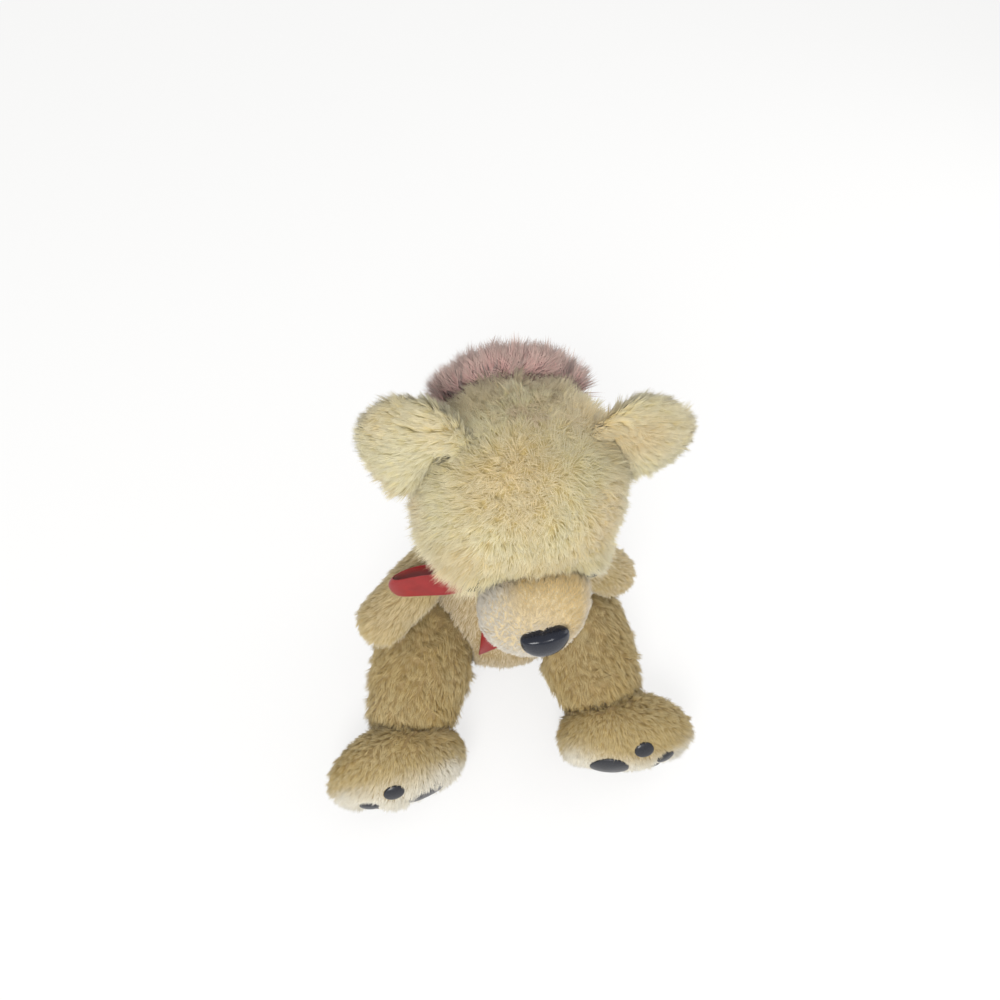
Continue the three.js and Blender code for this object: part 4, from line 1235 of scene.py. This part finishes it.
KNOT_PLACE = Vector((0, -60, 206)) * MM
LOOPS = {"left": (70 * MM, math.radians(14)), "right": (108 * MM, math.radians(1))}
LOOP_FALL = -0.05
LOOP_START = 9 * MM
LOOP_OPEN = 24 * MM
LOOP_LEAN = math.radians(-34)
LOOP_LEAN_EASE = 0.7
LOOP_CUT = 2.12
GATHER_REACH = 30 * MM
GATHERED = 0.55
LOOP_PLEAT = 2.2 * MM
LOOP_PLEATING = 7
LOOP_BOW = 3.5 * MM
LOOP_BOWING = 3.6
LOOP_SAG = 5 * MM
LOOP_TWIST = 2.5 * MM
LOOP_WAVE = 1.6 * MM
LOOP_WAVING = (9, 2)
LOOP_END_ROUND = 5 * MM


def eased(share):
    """A share from 0 to 1 that starts and ends softly."""
    return share * share * (3 - 2 * share)


for side, sign in SIDES:
    loop_reach, back = LOOPS[side]
    loop_out = Vector((sign * math.cos(back), math.sin(back), LOOP_FALL)).normalized()

    def loop_place(along, across):
        """A place on the loop: out from the knot, round the end and back, drawn together at the knot."""
        angle = 2 * math.pi * along
        far = loop_reach * (1 - math.cos(angle)) / 2
        out_share = far / loop_reach
        share = min(1.0, far / GATHER_REACH)
        lean = Matrix.Rotation(LOOP_LEAN * sign * (1 - LOOP_LEAN_EASE * out_share), 3, loop_out)
        wide = lean @ Vector((0, 0, 1)).cross(loop_out).normalized()
        tall = loop_out.cross(wide)
        apart = LOOP_OPEN / 2 * math.sin(angle) * math.sin(angle / 2)
        apart += (1 - share) * LOOP_PLEAT * math.sin(across * LOOP_PLEATING)
        high = across * RIBBON_WIDTH / 2 * (GATHERED + (1 - GATHERED) * eased(share))
        high += LOOP_BOW * math.sin(LOOP_BOWING * out_share) - LOOP_SAG * out_share ** 2
        high += LOOP_TWIST * math.sin(angle) * across
        high += LOOP_WAVE * math.sin(LOOP_WAVING[0] * out_share + LOOP_WAVING[1] * along)
        far -= LOOP_END_ROUND * across ** 2 * out_share ** 3
        start = KNOT_PLACE + Vector((sign * LOOP_START, 0, 0))
        return start + loop_out * far + wide * apart + tall * high

    ribbon_strip(f"bow_loop_{side}_satin", loop_place, along_steps=57, across_steps=7,
                 length=LOOP_CUT * loop_reach, node=f"bow_loop_{side}")

# Bow tails: the two ends of the ribbon, cut at a slant, that come out of the knot and hang on the chest.
# They are gathered inside the knot and spread to their full width below it.

TAIL_TUCK = 10 * MM
TAIL_LENGTH = 131 * MM
TAIL_SLANT = 12 * MM
TAIL_STAND_OFF = 5 * MM
TAIL_SPREAD_BY = 0.25
TAIL_WAVE = 1.5 * MM
TAIL_WAVING = (9, 1.3)
TAIL_PLEAT = 1.2 * MM
TAIL_PLEATING = 6
TAIL_PRESS = 1.5 * MM
TAIL_LOOK_FROM = -0.3
for side, sign in SIDES:
    def tail_place(along, across):
        """A place on the tail: from inside the knot down the chest, with a soft wave and a slanting end."""
        spread = eased(min(1.0, along / TAIL_SPREAD_BY))
        side_step = TAIL_SIDE * (0.5 + 0.5 * spread) + along * TAIL_DRIFT
        x = sign * side_step + across * RIBBON_WIDTH / 2 * (GATHERED + (1 - GATHERED) * spread)
        z = TAIL_TOP + TAIL_TUCK - along * (TAIL_TUCK + TAIL_FALL + across * sign * TAIL_SLANT)
        hit = body_tree.ray_cast(Vector((x, TAIL_LOOK_FROM, z)), Vector((0, 1, 0)))[0]
        wave = TAIL_WAVE * math.sin(along * TAIL_WAVING[0] + across * TAIL_WAVING[1] + sign)
        pleat = (1 - spread) * (TAIL_PLEAT * math.sin(across * TAIL_PLEATING) - TAIL_PRESS)
        return hit + Vector((0, -TAIL_STAND_OFF + wave + pleat, 0))

    ribbon_strip(f"bow_tail_{side}_satin", tail_place, along_steps=31, across_steps=7, length=TAIL_LENGTH,
                 node=f"bow_tail_{side}")

# Bow knot: one turn of the ribbon over the middle of the bow, pinched at both sides, with soft pleats.
# It holds the loops and the tails against the band.

KNOT_HALF_WIDTH = 10.5 * MM
KNOT_HIGH = 12.5 * MM
KNOT_DEEP = 7.5 * MM
KNOT_LENGTH = 64 * MM
KNOT_PINCH = 0.16
KNOT_PINCH_EDGE = 2.5
KNOT_PLEAT = 0.05
KNOT_PLEATING = (8, 0.6)


def knot_place(along, across):
    """A place on the knot's turn round the bow."""
    angle = 2 * math.pi * along
    pinch = 1 - KNOT_PINCH * abs(across) ** KNOT_PINCH_EDGE
    pleat = 1 + KNOT_PLEAT * math.sin(across * KNOT_PLEATING[0] + KNOT_PLEATING[1] * math.sin(angle))
    return KNOT_PLACE + Vector((
        across * KNOT_HALF_WIDTH,
        -math.cos(angle) * KNOT_DEEP * pinch * pleat,
        math.sin(angle) * KNOT_HIGH * pinch * pleat,
    ))


ribbon_strip("bow_knot_satin", knot_place, along_steps=41, across_steps=13, length=KNOT_LENGTH,
             node="bow_knot", closed=True)
